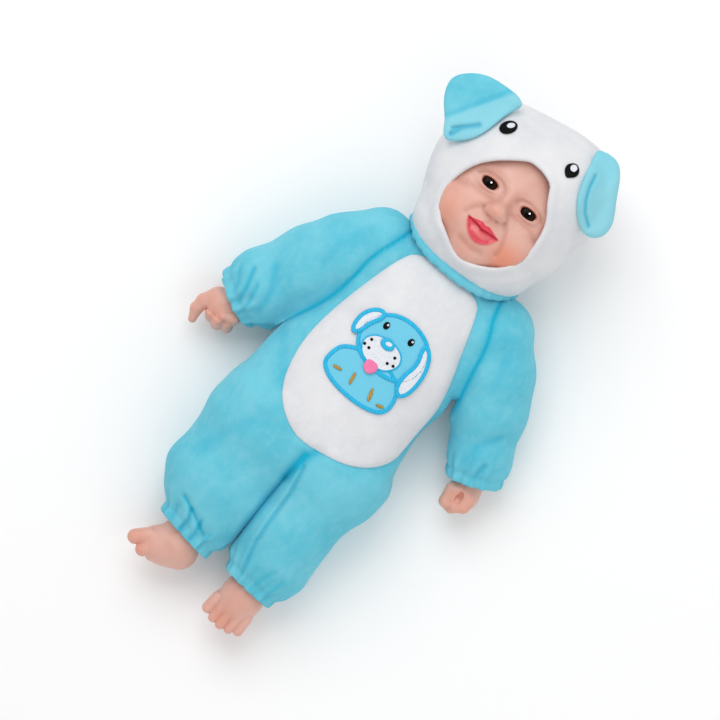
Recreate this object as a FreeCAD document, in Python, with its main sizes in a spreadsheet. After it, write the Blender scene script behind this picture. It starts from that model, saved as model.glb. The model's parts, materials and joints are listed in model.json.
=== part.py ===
import FreeCAD, Part
import math
import os
import Sketcher
from FreeCAD import Placement, Rotation, Vector

# An interactive baby doll, lying on its back: a vinyl head, hands and feet in a stuffed plush suit with
# a hood, and a sound box with a belly button inside.  Origin on the flat back under the torso, +X to the
# doll's left, +Y to its head, +Z out of its belly.  Millimetres.

RUN = 0.3           # gap between soft pieces that move past each other
FIT = 0.1           # gap round hard pieces that turn or slide
X_AXIS = Vector(1, 0, 0)
Y_AXIS = Vector(0, 1, 0)
Z_AXIS = Vector(0, 0, 1)

SIZES = {
    # hood and head
    "head_height": 56.0, "head_centre_y": 133.0, "head_radius": 46.5, "vinyl_wall": 3.0,
    "hood_centre_y": 142.0, "hood_radius": 60.5, "hood_height": 54.0,
    "hood_gap": 0.4, "hood_hem_y": 79.0,
    "face_centre_y": 126.0, "face_half_width": 35.5, "face_half_length": 40.5, "face_back": 52.0,
    "neck_radius": 18.0, "neck_flange_radius": 21.5, "neck_flange_thick": 4.0, "neck_end_y": 52.0,
    "neck_height": 41.0, "nose_radius": 9.0, "nose_y": 124.0, "chin_y": 97.0, "chin_radius": 22.0,
    "eye_radius": 9.0, "eye_y": 138.0, "eye_spacing": 32.5, "eye_depth": 6.5,
    "ear_half_width": 24.0, "ear_half_length": 27.0, "ear_half_thick": 6.0, "ear_height": 84.0,
    "hood_eye_radius": 6.0, "hood_eye_thick": 1.2,
    # torso
    "torso_height": 38.0, "collar_top_y": 78.6, "collar_low_y": 70.0, "collar_radius": 40.0,
    "panel_thick": 1.2, "panel_centre_x": 5.0, "panel_centre_y": -3.0, "panel_half_width": 50.0,
    "panel_half_length": 74.0, "patch_centre_x": 3.0, "patch_centre_y": -3.0, "patch_half_width": 31.0,
    "patch_half_length": 34.0, "patch_thick": 1.2,
    "pocket_width": 62.0, "pocket_length": 86.0, "pocket_ceiling": 66.0, "pocket_centre_y": -12.0,
    "rebate_width": 84.0, "rebate_length": 96.0, "rebate_depth": 7.2, "rebate_centre_x": 4.0,
    "flap_thick": 4.5, "flap_low": 0.0, "strip_width": 11.0, "strip_length": 84.0, "strip_thick": 1.1,
    # limbs
    "shoulder_x": 52.0, "shoulder_y": 48.0, "shoulder_height": 40.0, "shoulder_radius": 24.0,
    "arm_turn": 31.4, "arm_length": 96.0, "cuff_height": 20.0,
    "hip_y": -98.5, "hip_height": 44.0, "hip_radius": 20.0, "hip_half_width": 29.0,
    "leg_end_y": -180.5, "ankle_height": 27.0,
    "stem_radius": 10.0, "flange_radius": 12.5, "flange_thick": 3.0, "stem_length": 9.0,
    "ankle_stem_radius": 12.0, "ankle_flange_radius": 14.5, "tie_wide": 2.4, "tie_thick": 1.6,
    "elastic_thick": 1.4, "elastic_wide": 5.0,
    # sound box
    "case_width": 60.0, "case_length": 84.0, "case_back": 24.0, "case_split": 44.0, "case_front": 60.0,
    "case_wall": 2.0, "case_corner": 5.0, "case_screw_x": 25.8, "case_screw_y": 37.8,
    "bay_width": 46.4, "bay_length": 54.0, "bay_centre_y": -3.0, "bay_top": 42.0,
    "door_width": 47.0, "door_length": 64.0, "door_thick": 1.8, "door_screw_y": 28.2,
    "screw_radius": 1.2, "screw_head_radius": 2.6, "screw_head_thick": 1.6,
    "cell_radius": 7.1, "cell_length": 50.4, "cell_pitch": 15.2, "nub_radius": 2.7, "nub_length": 1.2,
    "button_y": 20.0, "button_radius": 12.0, "button_proud": 4.0, "button_flange_radius": 14.0,
    "button_flange_thick": 1.8, "button_travel": 2.0, "stem_bottom": 54.0,
    "spring_radius": 9.0, "spring_wire": 0.5,
    "speaker_y": -17.0, "speaker_radius": 19.5, "magnet_radius": 9.0, "magnet_thick": 4.5,
    "board_width": 42.0, "board_length": 30.0, "board_thick": 1.6, "board_low": 47.0, "board_centre_y": 21.0,
    "slot_y": 37.2, "slot_length": 11.0, "slot_width": 3.4, "slider_travel": 4.0,
}

# stations of each stuffed form: along Y, centre across, half width, centre height, half height
TORSO_STATIONS = {
    "neck": (74.0, 1.0, 37.0, 29.0, 37.0), "shoulder": (60.0, 2.0, 43.0, 33.0, 47.0),
    "chest": (35.0, 3.0, 48.0, 37.0, 56.0), "belly": (5.0, 4.0, 52.0, 40.0, 60.0),
    "waist": (-30.0, -2.0, 60.0, 40.0, 62.0), "hip": (-65.0, -3.0, 63.0, 37.0, 62.0),
    "seat": (-98.1, -3.0, 61.0, 31.0, 56.0),
}
ARM_STATIONS = {
    "root": (0.0, 0.0, 24.0, 40.0, 24.0), "upper": (-26.0, 0.0, 25.5, 36.5, 25.4),
    "elbow": (-54.0, 0.0, 25.0, 30.0, 24.6), "fore": (-78.0, 0.0, 21.0, 23.5, 20.0),
    "cuff": (-96.0, 0.0, 15.5, 20.0, 15.0),
}
LEG_STATIONS = {
    "right": {
        "root": (-98.9, -36.0, 31.5, 32.3, 31.4), "thigh": (-120.0, -36.0, 32.5, 32.0, 31.6),
        "knee": (-145.0, -35.5, 32.0, 30.0, 29.6), "calf": (-165.0, -29.5, 27.0, 28.0, 27.0),
        "cuff": (-180.5, -27.0, 22.0, 27.0, 20.0),
    },
    "left": {
        "root": (-98.9, 31.5, 30.0, 32.3, 29.9), "thigh": (-120.0, 31.0, 28.0, 32.0, 27.9),
        "knee": (-145.0, 32.0, 26.8, 30.0, 26.6), "calf": (-165.0, 34.0, 24.5, 28.0, 24.4),
        "cuff": (-180.5, 32.5, 19.0, 27.0, 18.5),
    },
}

doc = FreeCAD.newDocument("BabyDoll")
sheet = doc.addObject("Spreadsheet::Sheet", "Sizes")
for line, (alias, value) in enumerate(SIZES.items(), start=1):
    sheet.set(f"A{line}", alias)
    sheet.set(f"B{line}", str(value))
    sheet.setAlias(f"B{line}", alias)


def add_stations(form, stations):
    """Writes a form's stations to the sheet, under names such as torso_waist_half_width."""
    quantities = ("along", "centre", "half_width", "height", "half_height")
    line = len([c for c in sheet.getUsedCells() if c.startswith("B")]) + 1
    for station, values in stations.items():
        for quantity, value in zip(quantities, values):
            alias = f"{form}_{station}_{quantity}"
            sheet.set(f"A{line}", alias)
            sheet.set(f"B{line}", str(value))
            sheet.setAlias(f"B{line}", alias)
            line += 1


add_stations("torso", TORSO_STATIONS)
add_stations("arm", ARM_STATIONS)
for side_name, side_stations in LEG_STATIONS.items():
    add_stations(f"leg_{side_name}", side_stations)
doc.recompute()


def size(alias):
    """A driving dimension's value."""
    return float(sheet.get(alias))


nodes = {}


def keep(item, node, placement=None):
    """Makes item a sub-part under its own name."""
    item.Label = node
    if placement is not None:
        item.Placement = placement
    nodes[node] = item
    return item


def at(x=0.0, y=0.0, z=0.0, rotation=None):
    return Placement(Vector(x, y, z), rotation or Rotation())


def turned(axis, angle):
    return Rotation(axis, angle)


TO_Y = turned(X_AXIS, -90)     # a primitive's own Z axis along +Y
TO_X = turned(Y_AXIS, 90)      # along +X


def solid(kind, name, placement, **formulas):
    """A Part primitive whose sizes are formulas of the sheet's cells."""
    item = doc.addObject(f"Part::{kind}", name)
    for prop, formula in formulas.items():
        item.setExpression(prop, formula)
    item.Placement = placement
    return item


def box(name, low, high):
    """A box between two corners, whose coordinates are numbers already read from the sheet."""
    item = doc.addObject("Part::Box", name)
    item.Length, item.Width, item.Height = (b - a for a, b in zip(low, high))
    item.Placement = at(*low)
    return item


def cylinder(name, placement, radius, height):
    return solid("Cylinder", name, placement, Radius=radius, Height=height)


def ellipsoid(name, placement, across, along, high):
    """Half axes along X, Y and Z."""
    return solid("Ellipsoid", name, placement, Radius1=high, Radius2=across, Radius3=along)


def extrude(name, outline, direction, length):
    """The prism of a closed outline."""
    item = doc.addObject("Part::Extrusion", name)
    item.Base = outline
    item.DirMode = "Custom"
    item.Dir = direction
    item.setExpression("LengthFwd", length)
    item.Solid = True
    return item


def capsule(name, start, end, start_radius, end_radius):
    """A ball at each end of a straight cone."""
    run = end - start
    parts = [solid("Sphere", f"{name}Start", Placement(start, Rotation()), Radius=str(start_radius)),
             solid("Sphere", f"{name}End", Placement(end, Rotation()), Radius=str(end_radius)),
             solid("Cone", f"{name}Run", Placement(start, Rotation(Z_AXIS, run)), Radius1=str(start_radius),
                   Radius2=str(end_radius), Height=str(run.Length))]
    return fuse(name, *parts)


def cut(name, base, tool):
    item = doc.addObject("Part::Cut", name)
    item.Base, item.Tool = base, tool
    return item


def common(name, base, tool):
    item = doc.addObject("Part::Common", name)
    item.Base, item.Tool = base, tool
    return item


def fuse(name, *shapes):
    item = doc.addObject("Part::MultiFuse", name)
    item.Shapes = list(shapes)
    return item


def group(name, *shapes):
    """Separate identical pieces that share one node."""
    item = doc.addObject("Part::Compound", name)
    item.Links = list(shapes)
    return item


def stuffed(name, form, stations):
    """A loft through a form's elliptical stations along Y."""
    sections = []
    for station in stations:
        cells = f"Sizes.{form}_{station}"
        ring = doc.addObject("Part::Ellipse", f"{name}_{station}")
        ring.setExpression("MajorRadius", f"{cells}_half_width")
        ring.setExpression("MinorRadius", f"{cells}_half_height")
        ring.Placement = at(rotation=turned(X_AXIS, 90))
        ring.setExpression("Placement.Base.x", f"{cells}_centre")
        ring.setExpression("Placement.Base.y", f"{cells}_along")
        ring.setExpression("Placement.Base.z", f"{cells}_height")
        sections.append(ring)
    loft = doc.addObject("Part::Loft", name)
    loft.Sections = sections
    loft.Solid = True
    return loft


# ---------------------------------------------------------------- the torso
# The torso's stations give its half width, its depth in front of the middle plane and its depth behind
# it, so that the back is broad and is cut flat where it lies on the ground.
FAR = 200.0
middle = size("torso_height")


def half_ellipse(centre, across, outward):
    """The edge from centre + across, out over centre + outward, to centre - across."""
    if across.Length >= outward.Length:
        return Part.ArcOfEllipse(Part.Ellipse(centre + across, centre + outward, centre), 0, math.pi)
    oval = Part.Ellipse(centre + outward, centre - across, centre)
    return Part.ArcOfEllipse(oval, -math.pi / 2, math.pi / 2)


def torso_loft(name, grow=0.0):
    """A loft through the torso's stations, each one half ellipse in front and one behind."""
    sections = []
    for station in TORSO_STATIONS:
        along, centre_x, half_width, front, behind = (
            size(f"torso_{station}_{part}")
            for part in ("along", "centre", "half_width", "height", "half_height"))
        centre = Vector(centre_x, along, middle)
        across = X_AXIS * (half_width + grow)
        edges = [half_ellipse(centre, across, Z_AXIS * (front + grow)),
                 half_ellipse(centre, -across, -Z_AXIS * (behind + grow))]
        section = doc.addObject("Part::Feature", f"{name}_{station}")
        section.Shape = Part.Wire([edge.toShape() for edge in edges])
        sections.append(section)
    loft = doc.addObject("Part::Loft", name)
    loft.Sections = sections
    loft.Solid = True
    return loft


torso_body = torso_loft("TorsoLoft")
torso_form = common("TorsoForm", torso_body, box("AboveGround", (-FAR, -FAR, 0), (FAR, FAR, FAR)))

hip_y = size("hip_y")
hip_height = size("hip_height")
pocket_y = size("pocket_centre_y")
pocket_half_width = size("pocket_width") / 2
pocket_half_length = size("pocket_length") / 2
rebate_centre = size("rebate_centre_x")
rebate_half_width = size("rebate_width") / 2
rebate_half_length = size("rebate_length") / 2
neck_height = size("neck_height")

torso_tools = [
    box("Pocket", (-pocket_half_width, pocket_y - pocket_half_length, -1),
        (pocket_half_width, pocket_y + pocket_half_length, size("pocket_ceiling"))),
    box("FlapRebate", (rebate_centre - rebate_half_width, pocket_y - rebate_half_length, -1),
        (rebate_centre + rebate_half_width, pocket_y + rebate_half_length, size("rebate_depth"))),
    cylinder("HipSocket", at(-FAR / 2, hip_y, hip_height, TO_X), "Sizes.hip_radius + 0.4", "200"),
    box("LapCut", (-FAR, hip_y - FAR, hip_height), (FAR, hip_y + size("hip_radius") + 0.4, FAR)),
    cylinder("NeckSocket", at(0, size("neck_end_y") - 2 * RUN, neck_height, TO_Y),
             "Sizes.neck_flange_radius + 0.4", "60"),
]

# Each arm turns about a level axis across its own length, and needs the sector of a disc from straight below
# the shoulder to past straight in front of it.
SWEEP_BELOW = 90.0
SWEEP = 195.0
SWEEP_REACH = 75.0
BEHIND = 60.0       # what is behind the lifted arm's root turns a little further, but close to the axis
BEHIND_REACH = 37.0
sides = {"right": -1, "left": 1}
arm_room = []
for side, sign in sides.items():
    centre = Vector(sign * size("shoulder_x"), size("shoulder_y"), size("shoulder_height"))
    turn = turned(Z_AXIS, sign * size("arm_turn"))
    half_thick = size("arm_upper_half_width") + 0.6
    across = turn.multiply(Rotation(-Y_AXIS, Z_AXIS, -X_AXIS, "ZXY"))
    for label, start, angle, reach in (("Sweep", -SWEEP_BELOW, SWEEP, SWEEP_REACH),
                                       ("Behind", SWEEP - SWEEP_BELOW - 1, BEHIND, BEHIND_REACH)):
        sector = doc.addObject("Part::Cylinder", f"Arm{label}_{side}")
        sector.Radius = reach
        sector.Height = 2 * half_thick
        sector.Angle = angle
        sector.Placement = Placement(centre + turn.multVec(X_AXIS) * half_thick,
                                     across.multiply(turned(Z_AXIS, start)))
        arm_room.append(sector)
    arm_room.append(solid("Sphere", f"ShoulderSocket_{side}", Placement(centre, Rotation()),
                          Radius="Sizes.shoulder_radius + 0.4"))
arm_room = fuse("ArmRoom", *arm_room)

torso = cut("TorsoStuffing", torso_form, fuse("TorsoTools", *torso_tools, arm_room))
keep(torso, "torso_stuffing")

# the white panel and the sewn patch lie on the torso's front, one on the other
panel_thick = size("panel_thick")
panel_body = torso_loft("PanelLoft", panel_thick)
panel_skin = cut("PanelSkin", panel_body, torso_body)
panel_outline = doc.addObject("Part::Ellipse", "PanelOutline")
panel_outline.setExpression("MajorRadius", "Sizes.panel_half_length")
panel_outline.setExpression("MinorRadius", "Sizes.panel_half_width")
panel_outline.Placement = at(size("panel_centre_x"), size("panel_centre_y"), middle + 6, turned(Z_AXIS, 90))
panel_prism = extrude("PanelPrism", panel_outline, Z_AXIS, "80")
keep(cut("BellyPanel", common("PanelForm", panel_skin, panel_prism), arm_room), "belly_panel")

patch_skin = cut("PatchSkin", torso_loft("PatchLoft", panel_thick + size("patch_thick")), panel_body)
patch_outline = doc.addObject("Part::Ellipse", "PatchOutline")
patch_outline.setExpression("MajorRadius", "Sizes.patch_half_length")
patch_outline.setExpression("MinorRadius", "Sizes.patch_half_width")
patch_outline.Placement = at(size("patch_centre_x"), size("patch_centre_y"), middle + 6, turned(Z_AXIS, 90))
patch_prism = extrude("PatchPrism", patch_outline, Z_AXIS, "80")
keep(common("PuppyPatch", patch_skin, patch_prism), "puppy_patch")

# the collar band round the neck, and the tie that holds the cloth in the neck's groove
collar_top = size("collar_top_y")
collar_low = size("collar_low_y")
collar_disc = cylinder("CollarDisc", at(1, size("torso_neck_along") + 0.05, neck_height, TO_Y),
                       "Sizes.collar_radius - 4", "Sizes.collar_top_y - Sizes.torso_neck_along - 0.05")
collar_hole = cylinder("CollarHole", at(0, collar_low - 5, neck_height, TO_Y),
                       "Sizes.neck_radius + 0.4", "40")
keep(cut("NeckCollar", collar_disc, collar_hole), "neck_collar")


def ring(name, placement, inner, outer, width):
    """A flat ring about the placement's Z axis."""
    rim = cylinder(f"{name}Rim", placement, outer, width)
    hole = cylinder(f"{name}Hole", placement, inner, width)
    return cut(name, rim, hole)


neck_tie = ring("NeckTie", at(0, size("neck_end_y") + size("neck_flange_thick") + 3, neck_height, TO_Y),
                "Sizes.neck_radius + 0.4", "Sizes.neck_radius + 0.4 + Sizes.tie_thick", "Sizes.tie_wide")
keep(neck_tie, "neck_tie")

# the back flap and its hook and loop strips
flap_low = size("flap_low")
flap_top = flap_low + size("flap_thick")
flap_gap = 0.5
flap_left = rebate_centre - rebate_half_width + flap_gap
flap_right = rebate_centre + rebate_half_width - flap_gap
flap = box("BackFlap", (flap_left, pocket_y - rebate_half_length + flap_gap, flap_low),
           (flap_right, pocket_y + rebate_half_length - flap_gap, flap_top))
keep(flap, "back_flap")
strip_half = size("strip_length") / 2
strip_left = flap_right - 1.5 - size("strip_width")
keep(box("HookStrip", (strip_left, pocket_y - strip_half, flap_top),
         (flap_right - 1.5, pocket_y + strip_half, flap_top + size("strip_thick"))), "hook_strip")
keep(box("LoopStrip", (strip_left, pocket_y - strip_half, size("rebate_depth") - size("strip_thick") + 0.2),
         (flap_right - 1.5, pocket_y + strip_half, size("rebate_depth"))), "loop_strip")


# ---------------------------------------------------------------- head, hood and ears
head_height = size("head_height")
head_place = at(0, size("head_centre_y"), head_height)
skull = solid("Sphere", "Skull", head_place, Radius="Sizes.head_radius")
chin = solid("Sphere", "Chin", at(0, size("chin_y") + 10, head_height + 18), Radius="Sizes.chin_radius")
nose_tip = head_height + size("head_radius")
nose = solid("Sphere", "Nose", at(0, size("nose_y"), nose_tip - 5), Radius="Sizes.nose_radius")
neck_start = size("neck_end_y")
neck = cylinder("Neck", at(0, neck_start, neck_height, TO_Y), "Sizes.neck_radius", "50")
neck_flange = cylinder("NeckFlange", at(0, neck_start, neck_height, TO_Y),
                       "Sizes.neck_flange_radius", "Sizes.neck_flange_thick")
head_outside = fuse("HeadOutside", skull, chin, nose, neck, neck_flange)
hollow = solid("Sphere", "HeadHollow", head_place, Radius="Sizes.head_radius - Sizes.vinyl_wall")
neck_hollow = cylinder("NeckHollow", at(0, neck_start - 1, neck_height, TO_Y),
                       "Sizes.neck_radius - Sizes.vinyl_wall", "50")
eye_spots = {}
EYE_MIDDLE = 1.5
for side, sign in sides.items():
    eye_x = EYE_MIDDLE + sign * size("eye_spacing") / 2
    eye_spots[side] = Vector(eye_x, size("eye_y"), nose_tip - size("eye_depth") - size("eye_radius"))
eye_sockets = [solid("Sphere", f"EyeSocket_{side}", Placement(spot, Rotation()), Radius="Sizes.eye_radius")
               for side, spot in eye_spots.items()]
head = cut("HeadShell", head_outside, fuse("HeadTools", hollow, neck_hollow, *eye_sockets))
keep(head, "head_shell")
for side, spot in eye_spots.items():
    keep(solid("Sphere", f"Eye_{side}", Placement(spot, Rotation()), Radius="Sizes.eye_radius"),
         f"eye_{side}")

hood_place = at(0, size("hood_centre_y"), size("hood_height"))
hood_outside = solid("Sphere", "HoodOutside", hood_place, Radius="Sizes.hood_radius")
hood_tools = fuse(
    "HoodTools",
    solid("Sphere", "HoodInside", head_place, Radius="Sizes.head_radius + Sizes.hood_gap"),
    solid("Sphere", "HoodChin", chin.Placement, Radius="Sizes.chin_radius + Sizes.hood_gap"),
    cylinder("HoodNeck", at(0, neck_start, neck_height, TO_Y), "Sizes.neck_radius + Sizes.hood_gap", "60"),
    box("HoodHem", (-FAR, 0, -FAR), (FAR, size("hood_hem_y"), FAR)),
    box("HoodFloor", (-FAR, 0, -FAR), (FAR, FAR + FAR, 0)),
)
hood_shell = cut("HoodShell", hood_outside, hood_tools)
face_outline = doc.addObject("Part::Ellipse", "FaceOutline")
face_outline.setExpression("MajorRadius", "Sizes.face_half_length")
face_outline.setExpression("MinorRadius", "Sizes.face_half_width")
face_outline.Placement = at(0, size("face_centre_y"), head_height + 12, turned(Z_AXIS, 90))
face_prism = extrude("FacePrism", face_outline, Z_AXIS, "80")
keep(cut("Hood", hood_shell, face_prism), "hood")

SEWN = 0.3         # what is sewn on lies this far off the cloth under it
hood_skin = solid("Sphere", "HoodSkin", hood_place, Radius=f"Sizes.hood_radius + {SEWN}")
EAR_SPOTS = {"right": (-60.0, 168.0, -38.0), "left": (54.0, 176.0, 42.0)}
for side, (ear_x, ear_y, lean) in EAR_SPOTS.items():
    droop = turned(Z_AXIS, lean).multiply(turned(Y_AXIS, sides[side] * 24))
    ear_outline = doc.addObject("Part::Ellipse", f"EarOutline_{side}")
    ear_outline.setExpression("MajorRadius", "Sizes.ear_half_length")
    ear_outline.setExpression("MinorRadius", "Sizes.ear_half_width")
    ear_outline.Placement = at(ear_x, ear_y, size("ear_height"), droop.multiply(turned(Z_AXIS, 90)))
    ear_pad = extrude(f"EarPad_{side}", ear_outline, droop.multVec(Z_AXIS), "2 * Sizes.ear_half_thick")
    keep(cut(f"Ear_{side}", ear_pad, hood_skin), f"ear_{side}")

HOOD_EYE_SPOTS = {"right": (-28.0, 175.0), "left": (22.0, 179.0)}
for side, (spot_x, spot_y) in HOOD_EYE_SPOTS.items():
    prism = cylinder(f"HoodEyePrism_{side}", at(spot_x, spot_y, head_height), "Sizes.hood_eye_radius", "70")
    grown = solid("Sphere", f"HoodEyeSkin_{side}", hood_place,
                  Radius="Sizes.hood_radius + Sizes.hood_eye_thick")
    disc = common(f"HoodEyeDisc_{side}", grown, prism)
    keep(cut(f"HoodEye_{side}", disc, hood_skin), f"hood_eye_{side}")


# ---------------------------------------------------------------- arms and hands
def socket_tools(name, centre, stem, flange, depth, toward):
    """The hole in a limb's end for a hand's or foot's stem and flange, along the stem's own axis."""
    mouth = cylinder(f"{name}Mouth", Placement(centre, toward), f"{stem} + 0.3", f"{depth} + 1")
    seat_start = centre + toward.multVec(Z_AXIS) * (size("stem_length") - size("flange_thick") - RUN)
    seat = cylinder(f"{name}Seat", Placement(seat_start, toward), f"{flange} + 0.3",
                    "Sizes.flange_thick + 0.9")
    return [mouth, seat]


tie_start = 1.6
for side, sign in sides.items():
    shoulder = Vector(sign * size("shoulder_x"), size("shoulder_y"), 0)
    arm_place = Placement(shoulder, turned(Z_AXIS, sign * size("arm_turn")))
    wrist = Vector(0, -size("arm_length"), size("cuff_height"))
    sleeve = stuffed(f"Sleeve_{side}", "arm", ARM_STATIONS)
    ball = solid("Sphere", f"ShoulderBall_{side}", at(0, 0, size("shoulder_height")),
                 Radius="Sizes.shoulder_radius")
    stuffed_arm = fuse(f"ArmForm_{side}", sleeve, ball)
    tie_place = Placement(wrist + Y_AXIS * tie_start, TO_Y)
    tie_hole = cylinder(f"WristTieSlot_{side}", tie_place,
                        "Sizes.stem_radius + 0.9 + Sizes.tie_thick", "Sizes.tie_wide")
    tools = socket_tools(f"Wrist_{side}", wrist, "Sizes.stem_radius", "Sizes.flange_radius",
                         "Sizes.stem_length", TO_Y)
    keep(cut(f"Arm_{side}", stuffed_arm, fuse(f"ArmTools_{side}", *tools, tie_hole)),
         f"arm_{side}", arm_place)
    tie = ring(f"WristTie_{side}", tie_place, "Sizes.stem_radius + 0.9",
               "Sizes.stem_radius + 0.9 + Sizes.tie_thick", "Sizes.tie_wide")
    keep(tie, f"wrist_tie_{side}", arm_place)

    # the hand hangs from its stem past the cuff
    stem = cylinder(f"HandStem_{side}", Placement(wrist - Y_AXIS * 4, TO_Y), "Sizes.stem_radius",
                    "Sizes.stem_length + 4")
    flange = cylinder(f"HandFlange_{side}",
                      Placement(wrist + Y_AXIS * (size("stem_length") - size("flange_thick")), TO_Y),
                      "Sizes.flange_radius", "Sizes.flange_thick")
    hand_z = size("cuff_height")
    if side == "right":
        parts = [solid("Sphere", "Palm_right", at(0.5, wrist.y - 11, hand_z), Radius="13"),
                 capsule("Finger_right", Vector(-5, wrist.y - 14, hand_z + 1),
                         Vector(-6, wrist.y - 28, hand_z + 1), 5.2, 4.2)]
    else:
        parts = [solid("Sphere", "Fist_left", at(0, wrist.y - 8, hand_z), Radius="12.8"),
                 capsule("Thumb_left", Vector(-4, wrist.y - 4, hand_z + 9),
                         Vector(-2, wrist.y - 13, hand_z + 8), 4.6, 4.0)]
    beyond = box(f"CuffPlane_{side}", (-FAR, wrist.y - RUN, -FAR), (FAR, FAR, FAR))
    outside = cut(f"HandOutside_{side}", fuse(f"HandForm_{side}", *parts), beyond)
    keep(fuse(f"Hand_{side}", outside, stem, flange), f"hand_{side}", arm_place)


# ---------------------------------------------------------------- legs and feet
for side, sign in sides.items():
    stations = LEG_STATIONS[side]
    leg_loft = stuffed(f"LegLoft_{side}", f"leg_{side}", stations)
    hip_x = size(f"leg_{side}_root_centre")
    hip_reach = X_AXIS * (size("hip_half_width") - size("hip_radius"))
    hip_centre = Vector(hip_x, hip_y, hip_height)
    ball = capsule(f"HipBall_{side}", hip_centre - hip_reach, hip_centre + hip_reach,
                   size("hip_radius"), size("hip_radius"))
    ankle = Vector(size(f"leg_{side}_cuff_centre"), size("leg_end_y"), size("ankle_height"))
    tie_place = Placement(ankle + Y_AXIS * tie_start, TO_Y)
    tie_hole = cylinder(f"AnkleTieSlot_{side}", tie_place,
                        "Sizes.ankle_stem_radius + 0.9 + Sizes.tie_thick", "Sizes.tie_wide")
    tools = socket_tools(f"Ankle_{side}", ankle, "Sizes.ankle_stem_radius", "Sizes.ankle_flange_radius",
                         "Sizes.stem_length", TO_Y)
    keep(cut(f"Leg_{side}", fuse(f"LegForm_{side}", leg_loft, ball),
             fuse(f"LegTools_{side}", *tools, tie_hole)), f"leg_{side}")
    keep(ring(f"AnkleTie_{side}", tie_place, "Sizes.ankle_stem_radius + 0.9",
              "Sizes.ankle_stem_radius + 0.9 + Sizes.tie_thick", "Sizes.tie_wide"), f"ankle_tie_{side}")

    stem = cylinder(f"FootStem_{side}", Placement(ankle - Y_AXIS * 5, TO_Y), "Sizes.ankle_stem_radius",
                    "Sizes.stem_length + 5")
    flange = cylinder(f"FootFlange_{side}",
                      Placement(ankle + Y_AXIS * (size("stem_length") - size("flange_thick")), TO_Y),
                      "Sizes.ankle_flange_radius", "Sizes.flange_thick")
    if side == "right":
        heel = at(-22, ankle.y - 7, ankle.z)
        sole = capsule("FootSole_right", Vector(-20, ankle.y - 12, ankle.z),
                       Vector(-45, ankle.y - 17.5, ankle.z), 12.0, 11.0)
    else:
        heel = at(32, ankle.y - 6, ankle.z - 6)
        sole = capsule("FootSole_left", Vector(32, ankle.y - 7, ankle.z - 2),
                       Vector(31, ankle.y - 18.5, ankle.z + 3), 13.8, 15.5)
    heel_ball = solid("Sphere", f"Heel_{side}", heel, Radius="13")
    beyond = box(f"AnklePlane_{side}", (-FAR, ankle.y - RUN, -FAR), (FAR, FAR, FAR))
    outside = cut(f"FootOutside_{side}", fuse(f"FootForm_{side}", sole, heel_ball), beyond)
    keep(fuse(f"Foot_{side}", outside, stem, flange), f"foot_{side}")


# ---------------------------------------------------------------- the sound box
# Drawn about its own middle, and moved to the middle of the back pocket as it is kept.
def keep_in_case(item, node):
    return keep(item, node, at(0, pocket_y).multiply(item.Placement))


def plane_of(body, role):
    return next(f for f in body.Origin.OriginFeatures if f.Role == role)


def new_body(name, placement=None):
    body = doc.addObject("PartDesign::Body", name)
    if placement is not None:
        body.Placement = placement
    return body


def new_sketch(body, name, height="0"):
    """A sketch on the body's XY plane, lifted to a height."""
    sketch = body.newObject("Sketcher::SketchObject", name)
    sketch.AttachmentSupport = [(plane_of(body, "XY_Plane"), "")]
    sketch.MapMode = "FlatFace"
    sketch.setExpression("AttachmentOffset.Base.z", height)
    return sketch


def draw_rectangle(sketch, width, length, centre_x=0.0, centre_y=0.0):
    """A rectangle with driven width and length about a centre."""
    half_w, half_l = 5.0, 5.0
    corners = [Vector(centre_x - half_w, centre_y - half_l, 0), Vector(centre_x + half_w, centre_y - half_l, 0),
               Vector(centre_x + half_w, centre_y + half_l, 0), Vector(centre_x - half_w, centre_y + half_l, 0)]
    first = sketch.GeometryCount
    for i in range(4):
        sketch.addGeometry(Part.LineSegment(corners[i], corners[(i + 1) % 4]), False)
    centre = sketch.addGeometry(Part.Point(Vector(centre_x, centre_y, 0)), True)
    rules = [Sketcher.Constraint("Coincident", first + i, 2, first + (i + 1) % 4, 1) for i in range(4)]
    rules += [Sketcher.Constraint("Horizontal", first), Sketcher.Constraint("Vertical", first + 1),
              Sketcher.Constraint("Horizontal", first + 2), Sketcher.Constraint("Vertical", first + 3),
              Sketcher.Constraint("Symmetric", first, 1, first + 2, 1, centre, 1)]
    for rule in rules:
        sketch.addConstraint(rule)
    for value, rule in (
        (width, Sketcher.Constraint("DistanceX", first, 1, first, 2, 2 * half_w)),
        (length, Sketcher.Constraint("DistanceY", first + 1, 1, first + 1, 2, 2 * half_l)),
    ):
        index = sketch.addConstraint(rule)
        sketch.setExpression(f"Constraints[{index}]", value)
    place_point(sketch, centre, 1, centre_x, centre_y)


def place_point(sketch, item, point, x, y):
    """Fixes a point at a distance from the sketch's origin."""
    for kind, value in (("DistanceX", x), ("DistanceY", y)):
        sketch.addConstraint(Sketcher.Constraint(kind, -1, 1, item, point, value))


def draw_circle(sketch, radius, x=0.0, y=0.0):
    item = sketch.addGeometry(Part.Circle(Vector(x, y, 0), Z_AXIS, 3.0), False)
    index = sketch.addConstraint(Sketcher.Constraint("Radius", item, 3.0))
    sketch.setExpression(f"Constraints[{index}]", radius)
    place_point(sketch, item, 3, x, y)


def feature(body, kind, name, sketch, length, reverse=False):
    """A Pad or Pocket of one sketch."""
    item = body.newObject(f"PartDesign::{kind}", name)
    item.Profile = sketch
    item.setExpression("Length", length)
    item.Reversed = reverse
    sketch.Visibility = False
    return item


case_screws = [(sx * size("case_screw_x"), sy * size("case_screw_y")) for sx in (-1, 1) for sy in (-1, 1)]
case_depth = "Sizes.case_split - Sizes.case_back"

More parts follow.
